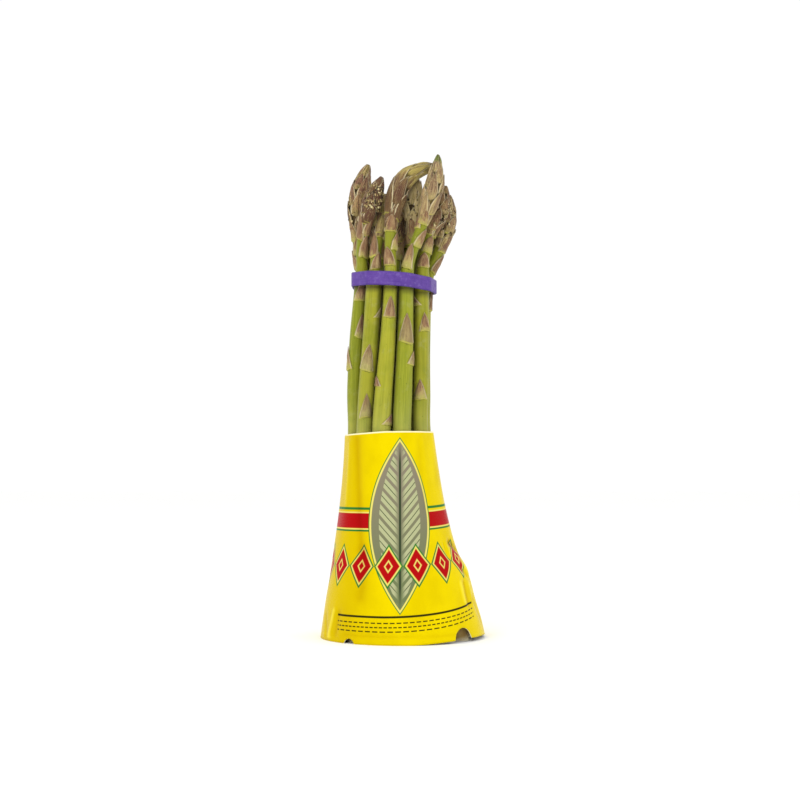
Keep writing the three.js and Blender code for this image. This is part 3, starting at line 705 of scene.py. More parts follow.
def wrap_tree():
    """Bends a geometry round a line, by each point's distance along it, compass turn and distance out."""
    b = GeometryBuild("Wrap round line", Geometry="Geometry", Line="Geometry", Along="Float", Turn="Float",
                      Out="Float")
    b.tree.is_modifier = False
    along, turn, out = map(b.given, ("Along", "Turn", "Out"))
    on_line = b.outputs("GeometryNodeSampleCurve", b.given("Line"), Length=along, mode="LENGTH",
                        use_all_curves=True)
    right = b.vector("NORMALIZE", b.vector("CROSS_PRODUCT", (0, 1, 0), on_line["Tangent"]))
    back = b.vector("CROSS_PRODUCT", on_line["Tangent"], right)
    across, behind = out * b.math("COSINE", turn), out * b.math("SINE", turn)
    beside = b.vector("ADD", b.scaled(right, across), b.scaled(back, behind))
    marked = b.store(b.given("Geometry"), "grain", b.combine(across, behind, along), "FLOAT_VECTOR")
    return b.end(b.geo("SetPosition", marked, Position=b.vector("ADD", on_line["Position"], beside)))


class SpearBuild(GeometryBuild):
    """A spear's tree, with what its stem, scales and buds share: its line and how they are bent round it."""

    def __init__(self):
        super().__init__(
            "Asparagus spear", Seeds="Geometry", Line="Object", Length="Float", Head="Float", Seed="Float",
            Stem_sides="Int", Stem_rows="Int", Fibre_depth="Float", Scale_thickness="Float",
            Stem_skin="Material", Scale_skin="Material", Bud_skin="Material")
        self.wrap = wrap_tree()
        self.line = self.geo("ObjectInfo", self.given("Line"), output="Geometry",
                             transform_space="ORIGINAL")
        self.length, self.head = self.given("Length"), self.given("Head")

    def thickness_at(self, along):
        return self.geo("SampleCurve", self.line, Value=self.geo("InputRadius"), Length=along, output="Value",
                        mode="LENGTH", use_all_curves=True)

    def wrapped(self, geometry, along, turn, out):
        return self.geo("Group", node_tree=self.wrap, Geometry=geometry, Line=self.line, Along=along,
                        Turn=turn, Out=out)


def stem_on_line(b):
    """A grid rolled up round the line, whose first rows close the cut end."""
    sheet = b.geo("MeshGrid", 1.0, 1.0, b.given("Stem sides") + 1, b.given("Stem rows"))
    x, y, _ = b.parts(b.geo("InputPosition"))
    sheet = b.store(sheet, "share", y + 0.5)
    sheet = b.store(sheet, "turning", (x + 0.5) * (2 * math.pi))
    share, turning = b.attribute("share"), b.attribute("turning")
    cap_share = CUT_ROWS / (b.given("Stem rows") - 1)
    along = b.maximum(0.0, (share - cap_share) / (1 - cap_share)) * b.length
    fullness = b.minimum(1.0, share / cap_share)
    head_place = (b.length - along) / b.head
    core = b.mix(b.ramp(head_place, 0.9, 1.1), CORE_SHARE, 1.0)
    around = b.combine(b.math("COSINE", turning), b.math("SINE", turning), b.given("Seed"))

    def ridges(across_scale, along_scale, scale, detail, roughness):
        where = b.vector("ADD", b.scaled(around, across_scale), b.combine(0, 0, along * along_scale))
        return b.noise(where, scale, detail, roughness) - 0.5

    relief = (ridges(1.7, 0.012, 1.6, 3, 0.6) * 3 + ridges(9, 0.02, 1.0, 2, 0.5)) * b.given("Fibre depth")
    sheet = b.store(sheet, "from_tip", b.length - along)
    sheet = b.store(sheet, "head_place", head_place)
    sheet = b.store(sheet, "end", b.math("LESS_THAN", share, cap_share * 1.001))
    stem = b.wrapped(sheet, along, turning, b.thickness_at(along) * core * fullness + relief * fullness)
    x, y, z = b.parts(b.geo("InputPosition"))
    end = b.attribute("end")
    stem = b.geo("SetPosition", stem, Position=b.combine(x, y, b.maximum(0.0, z) * (1 - end)))
    stem = b.geo("MergeByDistance", stem, Distance=MERGE)
    return b.dressed(stem, "Stem skin", b.math("LESS_THAN", end, 0.5))


def scales_on_line(b, seats):
    """A pointed patch on each seat, bent round the line and given its thickness."""
    patch = b.geo("MeshGrid", 2.0, 1.0, PATCH_ACROSS, PATCH_UP)
    x, y, _ = b.parts(b.geo("InputPosition"))
    patch = b.store(patch, "across", x)
    patch = b.store(patch, "up", (y + 0.5) ** 1.35)
    planted = b.geo("InstanceOnPoints", seats, Instance=patch)
    leaves = b.geo("RealizeInstances", planted)
    across, up, seed, kind, shape, root = map(b.attribute, ("across", "up", "seed", "kind", "shape", "root"))
    leaves = b.store(leaves, "head_place", (b.length - root) / b.head)
    side = abs(across)

    def uneven(across_scale, up_scale, draw, scale, detail, roughness):
        where = b.combine(across * across_scale, up * up_scale, seed * draw)
        return b.noise(where, scale, detail, roughness) - 0.5

    # the outline: round shoulders on the head, a triangle on the stem, with frayed edges and leaning tips
    wave = uneven(1.3, 2.2, 37, 1.3, 2, 0.55)
    ragged = uneven(0.7, 9, 91, 1.0, 2, 0.6)
    vein = uneven(6, 0.9, 53, 1.0, 3, 0.65)
    torn = b.noise(b.combine(across * 2.2, seed * 63), 1.0, 2, 0.6) - 0.5
    head_width = (1 - up ** b.mix(shape, 1.5, 2.3)) ** 0.95 * (0.8 + 0.2 * b.ramp(up, 0.0, 0.35))
    stem_width = b.mix(shape, (1 - up) ** b.mix(seed, 0.62, 0.9), (1 - up * up) ** 0.8)
    width = b.maximum(0.03, b.mix(kind, head_width, stem_width * b.ramp(up, 0.0, 0.05, 1.08, 1.0)))
    lean = (b.math("FRACT", seed * 13.7) - 0.5) * kind * (1 - shape) * up
    spread = width * across * (1 + ragged * 0.16 * b.ramp(side, 0.5, 1.0)) + lean * 0.9
    slant = (seed - 0.5) * 0.2 * across + torn * 0.24 * b.ramp(up, 0.5, 0.0)
    reach = b.attribute("length") * (up + slant - ragged * 0.02 * side)
    along = b.minimum(root + reach, b.length - TIP_CLEAR)

    def row_lift(name):
        left, middle, right = b.parts(b.attribute(name, "FLOAT_VECTOR"))
        edge = left * b.maximum(0.0, -across) + right * b.maximum(0.0, across)
        return middle * (1 - side ** 1.6) + edge

    lower = b.mix(b.ramp(up, 0.0, 0.5), row_lift("lift_root"), row_lift("lift_middle"))
    lift = b.mix(b.ramp(up, 0.5, 1.0), lower, row_lift("lift_tip")) + b.ramp(up, 0.0, 0.03, -0.9, 0.0)
    lift = lift + wave * 0.7 * b.ramp(up, 0.05, 0.5) + vein * b.mix(kind, 0.5, 0.3)
    leaves = b.store(leaves, "from_tip", b.length - along)
    leaves = b.wrapped(leaves, along, b.attribute("turn") + b.attribute("half") * spread,
                       b.maximum(0.12, b.thickness_at(along) * 0.97 + lift))
    thick = b.outputs("GeometryNodeExtrudeMesh", leaves, Offset_Scale=b.given("Scale thickness"),
                      Individual=False, mode="FACES")
    top = b.geo("SetShadeSmooth", thick["Mesh"], Shade_Smooth=1 - thick["Side"])
    under = b.geo("SetShadeSmooth", b.geo("FlipFaces", leaves), Shade_Smooth=True)
    leaves = b.geo("MergeByDistance", b.join(top, under), Distance=MERGE)
    return b.geo("SetMaterial", leaves, Material=b.given("Scale skin"))


def buds_on_line(b, buds):
    """Small round grains where the head has opened."""
    root, size = b.attribute("root"), b.attribute("length")
    out = b.thickness_at(root) + b.parts(b.attribute("lift_middle", "FLOAT_VECTOR"))[1]
    buds = b.wrapped(buds, root, b.attribute("turn"), out)
    bud = b.geo("MeshIcoSphere", 1.0, 1)
    stretch = b.combine(size * 0.8, size * 0.8, size * 1.25)
    return b.dressed(b.geo("InstanceOnPoints", buds, Instance=bud, Scale=stretch), "Bud skin")


def spear_tree():
    """Grows a spear from its seeds: a stem with a cut end, its scales, and the buds of an opened head."""
    b = SpearBuild()
    is_bud = b.math("GREATER_THAN", b.attribute("kind"), (KIND_STEM + KIND_BUD) / 2)
    parted = b.outputs("GeometryNodeSeparateGeometry", b.given("Seeds"), is_bud, domain="POINT")
    buds, seats = parted.values()
    whole = b.join(stem_on_line(b), scales_on_line(b, seats), buds_on_line(b, buds))
    return b.end_in_metres(b.geo("RealizeInstances", whole))


def band_tree():
    """Draws a flat strap with rounded edges along a closed path, waved a little as rubber lies."""
    b = GeometryBuild("Rubber band", Path="Geometry", Width="Float", Thickness="Float", Edge_radius="Float",
                      Wave="Float", Rubber="Material")
    path = b.geo("MeshToCurve", b.given("Path"))
    path = b.geo("ResampleCurve", path, mode="COUNT", Count=BAND_ROWS)
    place = b.geo("InputPosition")
    wave = (b.noise(b.scaled(place, 0.06), 1.0, 2, 0.5) - 0.5) * b.given("Wave")
    path = b.geo("SetPosition", path, Position=b.vector("ADD", place, b.combine(0, 0, wave)))
    path = b.geo("SetCurveNormal", path, mode="Z_UP")
    path = b.store(path, "band_round", b.geo("SplineParameter", output="Length"))
    section = b.geo("CurvePrimitiveQuadrilateral", b.given("Thickness"), b.given("Width"))
    section = b.geo("FilletCurve", section, mode="POLY", Count=4, Radius=b.given("Edge radius"),
                    Limit_Radius=True)
    section = b.geo("ResampleCurve", section, mode="LENGTH", Length=BAND_SECTION_STEP)
    section = b.store(section, "band_across", b.parts(b.geo("InputPosition"))[1])
    strap = b.geo("CurveToMesh", path, Profile_Curve=section)
    return b.end_in_metres(b.dressed(strap, "Rubber"))


# ---------------------------------------------------------------- materials
class ShaderBuild(Build):
    """A material with a Principled surface, whose constant values go straight on the shader's sockets."""

    def __init__(self, name, **constants):
        self.material = bpy.data.materials.new(name)
        self.material.use_nodes = True
        super().__init__(self.material.node_tree)
        self.surface = next(n for n in self.tree.nodes if n.type == "BSDF_PRINCIPLED")
        for key, value in constants.items():
            self.surface.inputs[key.replace("_", " ")].default_value = ink(value)

    def attribute(self, name, output="Fac"):
        return self.field("ShaderNodeAttribute", attribute_name=name, output=output)

    def object_place(self):
        """The place on the piece, in millimetres."""
        return self.scaled(self.field("ShaderNodeTexCoord", output="Object"), 1 / MM)

    def layers(self, colour, *layers):
        """Lays inks over a colour. A layer is its share and its ink, or a ramp's terms and its ink."""
        for *share, own_ink in layers:
            colour = self.tint(share[0] if len(share) == 1 else self.ramp(*share), colour, own_ink)
        return colour

    def finish(self, colour, roughness=None, height=None, depth=0.0, strength=1.0):
        """Ends a material with its colour, its roughness and a bump of a depth in metres."""
        self.feed(self.surface.inputs["Base Color"], colour)
        self.feed(self.surface.inputs["Roughness"], roughness)
        if height is not None:
            bump = self.field("ShaderNodeBump", Height=height, Distance=depth, Strength=strength)
            self.feed(self.surface.inputs["Normal"], bump)
        return self.material


def stem_skin(look):
    """Smooth waxy skin with fine lengthwise fibres, a pale bloom, and a cut end of pale flesh, with painted
    shade near the next stem, under the band and in the head's core.
    """
    b = ShaderBuild("Asparagus stem skin", Subsurface_Weight=0.08, Subsurface_Scale=0.002,
                    Subsurface_Radius=(0.6, 1.0, 0.25), Sheen_Weight=0.1, Sheen_Roughness=0.45,
                    Sheen_Tint="E6D8DC", Specular_IOR_Level=0.24, Specular_Tint="FFF6C8")
    from_tip, head_place, end, light, opened, crowding, own = map(b.attribute, (
        "from_tip", "head_place", "end", "light", "opened", "crowding", "spear_tone"))
    gx, gy, gs = b.parts(b.attribute("grain", "Vector"))
    where = b.object_place()
    height = b.parts(where)[2]

    def lengthwise(across_scale, along_scale, draw, detail, roughness):
        grain = b.combine(gx * across_scale, gy * across_scale, gs * along_scale + own * draw)
        return b.noise(grain, 1.0, detail, roughness)

    def spots(offset, scale, detail, roughness):
        return b.noise(b.vector("ADD", where, offset), scale, detail, roughness)

    fibres = lengthwise(2.6, 0.05, 40, 4, 0.65)
    streaks = lengthwise(0.55, 0.018, 90, 2, 0.5)
    flush = lengthwise(0.9, 0.06, 17, 3, 0.6)
    nicks = lengthwise(1.1, 0.32, 55, 2, 0.5)
    grooves = lengthwise(3.6, 0.03, 40, 3, 0.6)
    clouds = spots(b.combine(own * 300), 0.055, 3, 0.55)
    bloom = spots(b.combine(own * 120), 0.16, 4, 0.65)
    dots = spots(b.combine(0.0, own * 77), 0.9, 1, 0.5)
    green = b.layers(
        b.tint(b.ramp(clouds + (own - 0.5) * 0.35, 0.36, 0.64), look.stem_green[:], look.stem_yellow[:]),
        (fibres, 0.42, 0.72, 0.4, "B5B63E"),
        (fibres, 0.46, 0.26, 0.35, "66751A"),
        (streaks, 0.5, 0.72, 0.4, "64700F"),
        (light, 0.0, 1.0, 0.6, "B2B838"),
        (light, 0.0, -1.0, 0.8, "6A6C1C"),
        (height, 172, 195, 0.6, "72791C"),
        (height, 128, 30, 0.8, "C6C690"),
        (height, 30, 8, 0.8, "A57B3E"),
        (b.ramp(flush, 0.54, 0.74, 0.6) * b.ramp(from_tip, 75, 20), "86684A"),
        (bloom, 0.54, 0.74, 0.16, "B2B08A"),
        (dots, 0.7, 0.76, 0.5, "4F5F14"),
        (nicks, 0.74, 0.79, 0.35, "C0B274"))
    head = b.ramp(head_place, 1.02, 0.9)
    # painted shade: darker where the next stem or the band's lower edge is near, weaker in the head
    shade = crowding * b.ramp(height, 138, 168, 0.25, 1.0) * b.mix(head, 0.85, 0.45)
    # the head's core under its scales is dark brown, partly painted shade for the gaps between the scales;
    # then the painted shade
    skin = b.layers(green, (head, b.tint(opened, "77663A", "4A3A22")), (shade, "2C280C"))
    flesh_dots = b.field("ShaderNodeTexVoronoi", output="Distance", Vector=where, Scale=0.95)
    flesh = b.tint(b.ramp(flesh_dots, 0.12, 0.3), "B9AE7C", "E9E4C4")
    flesh = b.layers(flesh, (b.noise(where, 0.2, 3, 0.6), 0.5, 0.75, 0.6, "B89A66"))
    roughness = b.mix(end, b.ramp(fibres, 0.3, 0.7, 0.38, 0.54), 0.7)
    return b.finish(b.tint(end, skin, flesh), roughness, grooves + flesh_dots * end * 0.5, 0.00016, 0.65)


def scale_skin(look):
    """Papery scales: mauve with pale dry edges that are partly a painted highlight, fine lengthwise veins, a
    pale yellow line at the root, and painted shade at rims, roots and crowded places.
    """
    b = ShaderBuild("Asparagus scale skin", Subsurface_Weight=0.03, Subsurface_Scale=0.0008,
                    Subsurface_Radius=(0.8, 0.6, 0.3), Sheen_Weight=0.03, Sheen_Roughness=0.5,
                    Specular_IOR_Level=0.28, Specular_Tint="FFF2DC")
    across, up, seed, kind, from_tip, head_place, crowding = map(b.attribute, (
        "across", "up", "seed", "kind", "from_tip", "head_place", "crowding"))
    green_tip, pale, olive, tan = map(b.attribute, ("green_tip", "pale", "olive", "tan"))
    where = b.object_place()
    side = abs(across)
    draw = b.math("FRACT", seed * 7.31)

    def lengthwise(across_scale, up_scale, draw_scale, detail, roughness):
        grain = b.combine(across * across_scale, up * up_scale, seed * draw_scale)
        return b.noise(grain, 1.0, detail, roughness)

    veins = lengthwise(4, 1.2, 53, 4, 0.7)
    fine = lengthwise(14, 2.4, 31, 3, 0.7)
    patches = lengthwise(1.6, 2.4, 77, 3, 0.6)
    specks = b.noise(where, 1.5, 3, 0.65)
    flakes = b.noise(b.vector("ADD", where, b.combine(50.0)), 0.75, 4, 0.7)
    blotch, wisp, chance = patches - 0.5, fine - 0.5, draw - 0.5

    # on the head: mauve, tan or olive by the draw, yellower at the root and darker at the tip
    mauve = b.layers(
        b.tint(b.ramp(draw, 0.35, 0.65), look.scale_mauve[:], look.scale_tan[:]),
        (draw, 0.82, 0.86, "8A7740"),
        (draw, 0.14, 0.09, "5C3D34"))
    olive = olive * b.ramp(from_tip + blotch * 16, 24, 16) * b.ramp(from_tip, 1, 5)
    head = b.layers(
        b.tint(b.ramp(patches, 0.4, 0.6), "8E7A40", "B29E66"),
        (up + blotch * 0.7, 0.05, 0.42, mauve),
        (up + blotch * 0.4, 0.7, 1.0, 0.7, "54362F"),
        (veins, 0.5, 0.68, 0.8, "C4AA72"),
        (veins, 0.49, 0.33, 0.85, "452A22"),
        (patches, 0.62, 0.7, 0.45, "96894A"),
        (flakes, 0.57, 0.68, 0.8, "D6C58C"),
        (flakes, 0.43, 0.32, 0.8, "33201A"),
        (olive * b.ramp(veins, 0.3, 0.6, 0.35, 0.95), "BAA958"),
        (olive * b.ramp(veins, 0.48, 0.36, 0.6), "6A5426"),
        (pale * b.ramp(veins, 0.35, 0.65, 0.15, 0.7), "CFBA86"),
        (b.ramp(pale, 0.0, -1.0, 0.85) * (1 - olive), "573527"),
        (green_tip * b.ramp(from_tip, 5.5, 3.5, 0.9), "687A2C"))

    # on the stem: mauve-pink middle and tip, cream margins, yellow-green at the root
    tan_place = b.ramp(b.parts(where)[2], 186, 176) * b.ramp(up + blotch * 0.8, 0.85, 0.4, 0.3, 1.0)
    stem = b.layers(
        b.tint(b.ramp(veins, 0.32, 0.7), "74503E", "AC875E"),
        (up - side * 0.22 + blotch * 1.3 + wisp * 0.4 + chance * 0.4, 0.34, -0.06, 0.85, "B9A766"),
        (up + (veins - 0.5) * 0.4 + chance * 0.3, 0.22, 0.04, 0.85, "B3AB5A"),
        (veins, 0.56, 0.7, 0.5, "C9BB8C"),
        (b.ramp(tan, 0.0, 1.0, 0.75) * tan_place, "A39A62"),
        (tan, 0.0, -1.0, 0.8, "3B261F"))

    # on both: fibres, specks, a pale dry margin that is partly a painted highlight, a dark rim of painted
    # shade, a yellow foot over a line of painted shadow at the root, and painted shade where crowded
    margin = b.maximum(b.ramp(side + wisp * 0.16, 0.76, 0.84), b.ramp(up + wisp * 0.08, 0.9, 0.97, 0.5))
    rim = b.ramp(side + wisp * 0.08, 0.93, 0.98) * b.ramp(up, 0.1, 0.2)
    shown = b.maximum(kind, b.ramp(head_place, 0.8, 0.95))
    colour = b.layers(
        b.tint(kind, head, stem),
        (fine, 0.53, 0.69, 0.6, "CEBC80"),
        (b.ramp(fine, 0.45, 0.28, 0.5) * b.mix(kind, 1.0, 0.6), "452E23"),
        (specks, 0.62, 0.7, 0.5, "3F2A1F"),
        # pale dry margin, partly a painted highlight where light catches the edges
        (margin * b.mix(kind, b.ramp(draw, 0.15, 0.4, 0.45, 0.9), 0.6), "DCCBA0"),
        # painted shade: a thin dark rim along the scale's edges
        (rim * b.mix(kind, 0.85, 0.35), "33231A"),
        (b.ramp(up + wisp * 0.04, 0.11, 0.05, 0.85) * shown, "C1BC50"),
        # painted shadow: a dark line at the very root, under the yellow foot
        (b.ramp(up, 0.045, 0.02, 0.9) * shown, "2F2A12"),
        # painted shade where the next stem or the band's lower edge is near
        (crowding * b.mix(kind, 0.35, 0.7), "2B1D14"))
    return b.finish(colour, b.ramp(veins, 0.3, 0.7, 0.5, 0.68), veins + fine * 0.6 + flakes * 0.8, 0.0007)


def bud_skin():
    """Loose flower buds in an opened head: olive and tan grains, some pale and some browned."""
    b = ShaderBuild("Asparagus bud skin", Subsurface_Weight=0.05, Subsurface_Scale=0.001,
                    Specular_IOR_Level=0.3)
    seed = b.attribute("seed")
    patches = b.noise(b.object_place(), 1.4, 3, 0.6)
    colour = b.layers(
        b.tint(b.ramp(seed, 0.15, 0.85), "766A38", "B09B68"),
        (seed, 0.86, 0.9, "DACA96"),
        (seed, 0.38, 0.32, "3E2F20"),
        (patches, 0.52, 0.7, 0.7, "523F28"))
    return b.finish(colour, b.ramp(patches, 0.3, 0.7, 0.45, 0.65), patches, 0.0003, 0.7)


def band_rubber(look):
    """Matt violet rubber with fine mould lines along the band, clouded and dusty."""
    b = ShaderBuild("Violet band rubber", Sheen_Weight=0.05, Sheen_Roughness=0.5, Specular_IOR_Level=0.25)
    round_band, across_band = b.attribute("band_round"), b.attribute("band_across")
    where = b.object_place()
    lines = b.noise(b.combine(round_band * 0.06, across_band * 2.4), 1.0, 3, 0.6)
    dust = b.noise(where, 0.9, 4, 0.65)
    patches = b.noise(where, 0.4, 3, 0.65)
    colour = b.layers(
        look.violet[:],
        (b.noise(where, 0.12, 2, 0.5), 0.35, 0.65, "58398E"),
        (lines, 0.5, 0.75, 0.35, "745AA6"),
        (patches, 0.52, 0.7, 0.45, "7C66AC"),
        (patches, 0.46, 0.3, 0.5, "3F2674"),
        (abs(across_band), 2.9, 3.4, 0.5, "38226A"),
        (dust, 0.62, 0.8, 0.3, "9384B4"),
        (dust, 0.4, 0.25, 0.4, "38226A"))
    return b.finish(colour, b.ramp(dust, 0.3, 0.7, 0.42, 0.6), lines + dust * 0.4, 0.0002, 0.6)


def sleeve_paper(look):
    """Coated paper printed on its outer face: stripes, a row of lozenges, a sprig panel and thin rules."""
    b = ShaderBuild("Printed sleeve paper", Specular_IOR_Level=0.05, Specular_Tint="FFE860")
    outer, rim, from_top, fold = map(b.attribute, ("outer", "rim", "from_top", "fold"))
    print_place = b.attribute("print", "Vector")
    u, w, round_place = b.parts(print_place)  # round_place fans out with the sleeve, u doesn't
    inks = {"red": look.sleeve_red[:], "green": look.sleeve_green[:], "pale": "DDD06A"}

    def below(value, limit, edge=PRINT_EDGE):
        return b.ramp(value, limit - edge, limit + edge, 1.0, 0.0, kind="LINEAR")

    def between(value, low, high):
        return below(value, high) * (1 - below(value, low))

    ground = b.layers(
        look.sleeve_yellow[:],
        (b.noise(print_place, 0.06, 3, 0.55), 0.3, 0.7, "D6BD00"),
        (b.noise(print_place, 2.2, 3, 0.6), 0.45, 0.75, 0.25, "E4D10C"),
        # painted shade: the yellow ground darkens towards the left of the front
        (u, -8, -30, 0.6, "C4A600"))
    stripes = [(between(w, low, high), inks[name]) for low, high, name in STRIPES]

    # the panel: a tall pointed oval with a sprig of paired leaves
    from_middle = abs(u - PANEL_U)
    rise = (w - PANEL_Z) / PANEL_HALF_HEIGHT
    panel_half = (1 - rise * rise) * PANEL_HALF_WIDTH
    from_edge = from_middle - panel_half
    leaf_row = abs(b.math("FRACT", (w - from_middle * LEAF_SLOPE) / LEAF_STEP) - 0.5) * (2 * LEAF_STEP)
    leaf_open = below(from_middle - panel_half * LEAF_REACH, 0.0) * b.ramp(from_middle, 0.4, 3.0)
    panel = [(below(from_edge, margin), inks[name]) for margin, name in PANEL_OUTLINES]
    panel += [
        (below(from_edge, 0.0), b.tint(b.ramp(rise, -1.0, 0.9), "6B7650", "847B68")),
        ((1 - below(leaf_row, 2.1)) * leaf_open, "ABAE84"),
        ((1 - below(leaf_row, LEAF_STEP - 0.55)) * leaf_open, "434E34"),
        (below(from_middle, 0.55) * below(abs(rise), 0.86), "394430")]

    # the border of lozenges
    step = (b.math("FRACT", round_place / LOZENGE_STEP) - 0.5) * LOZENGE_STEP
    reach = abs(step) / LOZENGE_HALF_WIDTH + abs(w - LOZENGE_Z) / LOZENGE_HALF_HEIGHT
    border = [(below(reach, limit, LOZENGE_EDGE), inks[name]) for limit, name in LOZENGE_RINGS]

    # thin dark rules, some broken into dashes
    rules = []
    for z, half, dash in RULES:
        broken = b.math("LESS_THAN", b.math("FRACT", u / dash), DASH_SHARE) if dash else 1.0
        rules.append((between(w, z - half, z + half) * (between(u, *RULE_ENDS) * broken), "2E2C0C"))

    # painted shade in the creases' hollows and painted highlight on their ridges, then a bare torn edge and
    # scuffs
    face = b.layers(ground, *stripes, *panel, *border, *rules)
    # painted shade: darker gold in the hollows of the creases
    face = b.tint(b.ramp(fold, 0.05, 0.9, 0.55), face, "C29B00", "MULTIPLY")
    face = b.layers(
        face,
        # painted highlight: paler yellow on the ridges of the creases
        (fold, -0.08, -0.6, 0.45, "FFF45A"),
        (from_top, 0.75, 0.6, "F3E9B8"),
        (b.noise(b.combine(u * 0.9, w * 0.9, 3.0), 1.0, 5, 0.7), 0.7, 0.76, 0.35, "FBF6C0"))
    bare = b.tint(b.ramp(b.noise(print_place, 0.8, 4, 0.65), 0.3, 0.7), "D8D2BC", "EFEBDC")
    fibres = b.noise(print_place, 1.6, 4, 0.65)
    roughness = b.mix(outer, 0.65, b.ramp(fibres, 0.3, 0.7, 0.24, 0.36))
    return b.finish(b.layers(bare, (outer, face), (rim, "F6F3D8")), roughness, fibres, 0.00006, 0.5)


# ---------------------------------------------------------------- pieces
def new_mesh(name, points, edges=(), faces=()):
    mesh = bpy.data.meshes.new(name)
    mesh.from_pydata(points, edges, faces)
    return mesh


def mark(mesh, name, values, kind="FLOAT", domain="POINT"):
    """Stores an attribute on a mesh."""
    if kind == "FLOAT_VECTOR":
        key, values = "vector", [number for vector in values for number in vector]
    else:
        key = "value"
    mesh.attributes.new(name, kind, domain).data.foreach_set(key, values)


def new_object(name, data, place=None, aim=None):
    """An object in the scene, at the origin or turned from its place towards what it aims at."""
    thing = bpy.data.objects.new(name, data)
    if aim:
        thing.location = place
        thing.rotation_euler = (Vector(aim) - Vector(place)).to_track_quat("-Z", "Y").to_euler()
    bpy.context.scene.collection.objects.link(thing)
    return thing


def grown(name, mesh, tree, **inputs):
    """A plain mesh object grown by a node tree from a starting mesh."""
    seedling = new_object(name + "_seeds", mesh)
    modifier = seedling.modifiers.new("Grow", "NODES")
    modifier.node_group = tree
    sockets = {item.name: item.identifier for item in tree.interface.items_tree if item.in_out == "INPUT"}
    for label, value in inputs.items():
        modifier[sockets[label.replace("_", " ")]] = value
    depsgraph = bpy.context.evaluated_depsgraph_get()
    depsgraph.update()
    grown_mesh = bpy.data.meshes.new_from_object(seedling.evaluated_get(depsgraph), depsgraph=depsgraph)
    seedling.modifiers.clear()
    bpy.data.objects.remove(seedling)
    bpy.data.meshes.remove(mesh)
    if not grown_mesh.polygons:
        raise RuntimeError(f"{name} came out empty")
    grown_mesh.name = name
    return new_object(name, grown_mesh)


def finished(piece, slot, *nodes):
    """Attaches a piece to the body it rides on and hides the nodes it stands for. Its slot is not used."""
    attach(piece, BODY)
    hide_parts(*nodes)


def seed_mesh(name, seeds):
    """A point for each scale and bud, with what the tree needs to know to grow it."""
    mesh = new_mesh(name, [(0, 0, k * MM) for k in range(len(seeds))])
    for key in ("kind", "root", "turn", "length", "half", "seed", "shape"):
        mark(mesh, key, [s[key] for s in seeds])
    for key in LIFT_ROWS:
        mark(mesh, key, [s[key] for s in seeds], "FLOAT_VECTOR")
    return mesh


def guide_object(line):
    """The centreline as a curve object, in millimetres, with the spear's thickness as its radius."""
    curve = bpy.data.curves.new(line.name + "_line", "CURVE")
    curve.dimensions = "3D"
    strand = curve.splines.new("POLY")
    strand.points.add(LINE_STEPS)
    for point, s in zip(strand.points, line.stations(LINE_STEPS)):
        point.co = (*line.point(s), 1)
        point.radius = line.radius(s)
    return new_object(curve.name, curve)


def make_spears(look):
    """Grows the spears one after the other, and stores what their skins depend on."""
    lines = bundle_lines()
    tree = spear_tree()
    skins = {"Stem_skin": stem_skin(look), "Scale_skin": scale_skin(look), "Bud_skin": bud_skin()}
    for number, line in enumerate(lines):
        rng = random.Random(look.seed * 100 + number)
        tone = rng.random()
        neighbours = Neighbours(line, lines)
        seeds = seed_mesh(line.name + "_seeds", Planting(line, neighbours, rng).seeds)
        guide = guide_object(line)
        piece = grown("asparagus_" + line.name, seeds, tree, Line=guide, Length=line.length,
                      Head=float(line.spear["head"]), Seed=float(number), Stem_sides=STEM_SIDES,
                      Stem_rows=STEM_ROWS, Fibre_depth=look.fibre_depth, Scale_thickness=look.scale_thickness,
                      **skins)
        bpy.data.objects.remove(guide)
        mesh = piece.data
        looks = {key: line.spear.get(key, 0.0) for key in OWN_LOOKS}
        looks.update(spear_tone=tone, opened=float("buds" in line.spear))
        for key, value in looks.items():
            mark(mesh, key, [value] * len(mesh.vertices))
        # painted shade on each point: darker between close stems and just under the band's lower edge
        mark(mesh, "crowding", [neighbours.crowding(vertex.co / MM) for vertex in mesh.vertices])
        finished(piece, "asparagus", line.name)


def band_path(clear):
    """The outline of a loop stretched round all the stems at the band, a given distance clear of them."""
    circles = []
    for line in bundle_lines():
        for share in (-0.5, 0, 0.5):
            s = line.at(line.band_z() + share * (BAND_WIDTH + BAND_MARGIN))
            point = line.point(s)
            circles.append((point.x, point.y, line.radius(s) / line.direction(s).z))
    path = []
    for k in range(BAND_CORNERS):
        turn = 2 * math.pi * k / BAND_CORNERS
        out = Vector((math.cos(turn), math.sin(turn)))
        x, y, radius = max(circles, key=lambda c: c[0] * out.x + c[1] * out.y + c[2])
        place = Vector((x, y)) + out * (radius + clear)
        path.append((place.x, place.y, band_middle(place.x)))
    return path


def make_band(look):
    path = band_path(BAND_CLEAR + BAND_THICKNESS / 2)
    mesh = new_mesh("band_path", path, [(k, (k + 1) % len(path)) for k in range(len(path))])
    piece = grown("violet_rubber_band", mesh, band_tree(), Width=BAND_WIDTH - BAND_TRIM,
                  Thickness=BAND_THICKNESS, Edge_radius=BAND_EDGE_RADIUS, Wave=BAND_WAVE,
                  Rubber=band_rubber(look))
    finished(piece, "rubber_band", "rubber_band")


# ---------------------------------------------------------------- the paper sleeve
def sleeve_point(z, turn, inset):
    """The sleeve's outer face at a height and a compass turn in radians, moved in by an inset."""
    middle, half, flatness = (column(SLEEVE, k, z) for k in (1, 2, 3))
    depth = half * flatness
    return Vector((middle + (half - inset) * math.cos(turn), (depth - inset) * math.sin(turn), z))


def arc_from_front(z, turn):
    """How far along the face a place is from the front centre line, in mm, to the right."""
    return column(SLEEVE, 2, z) * ARC_SHARE * math.remainder(turn + math.pi / 2, 2 * math.pi)


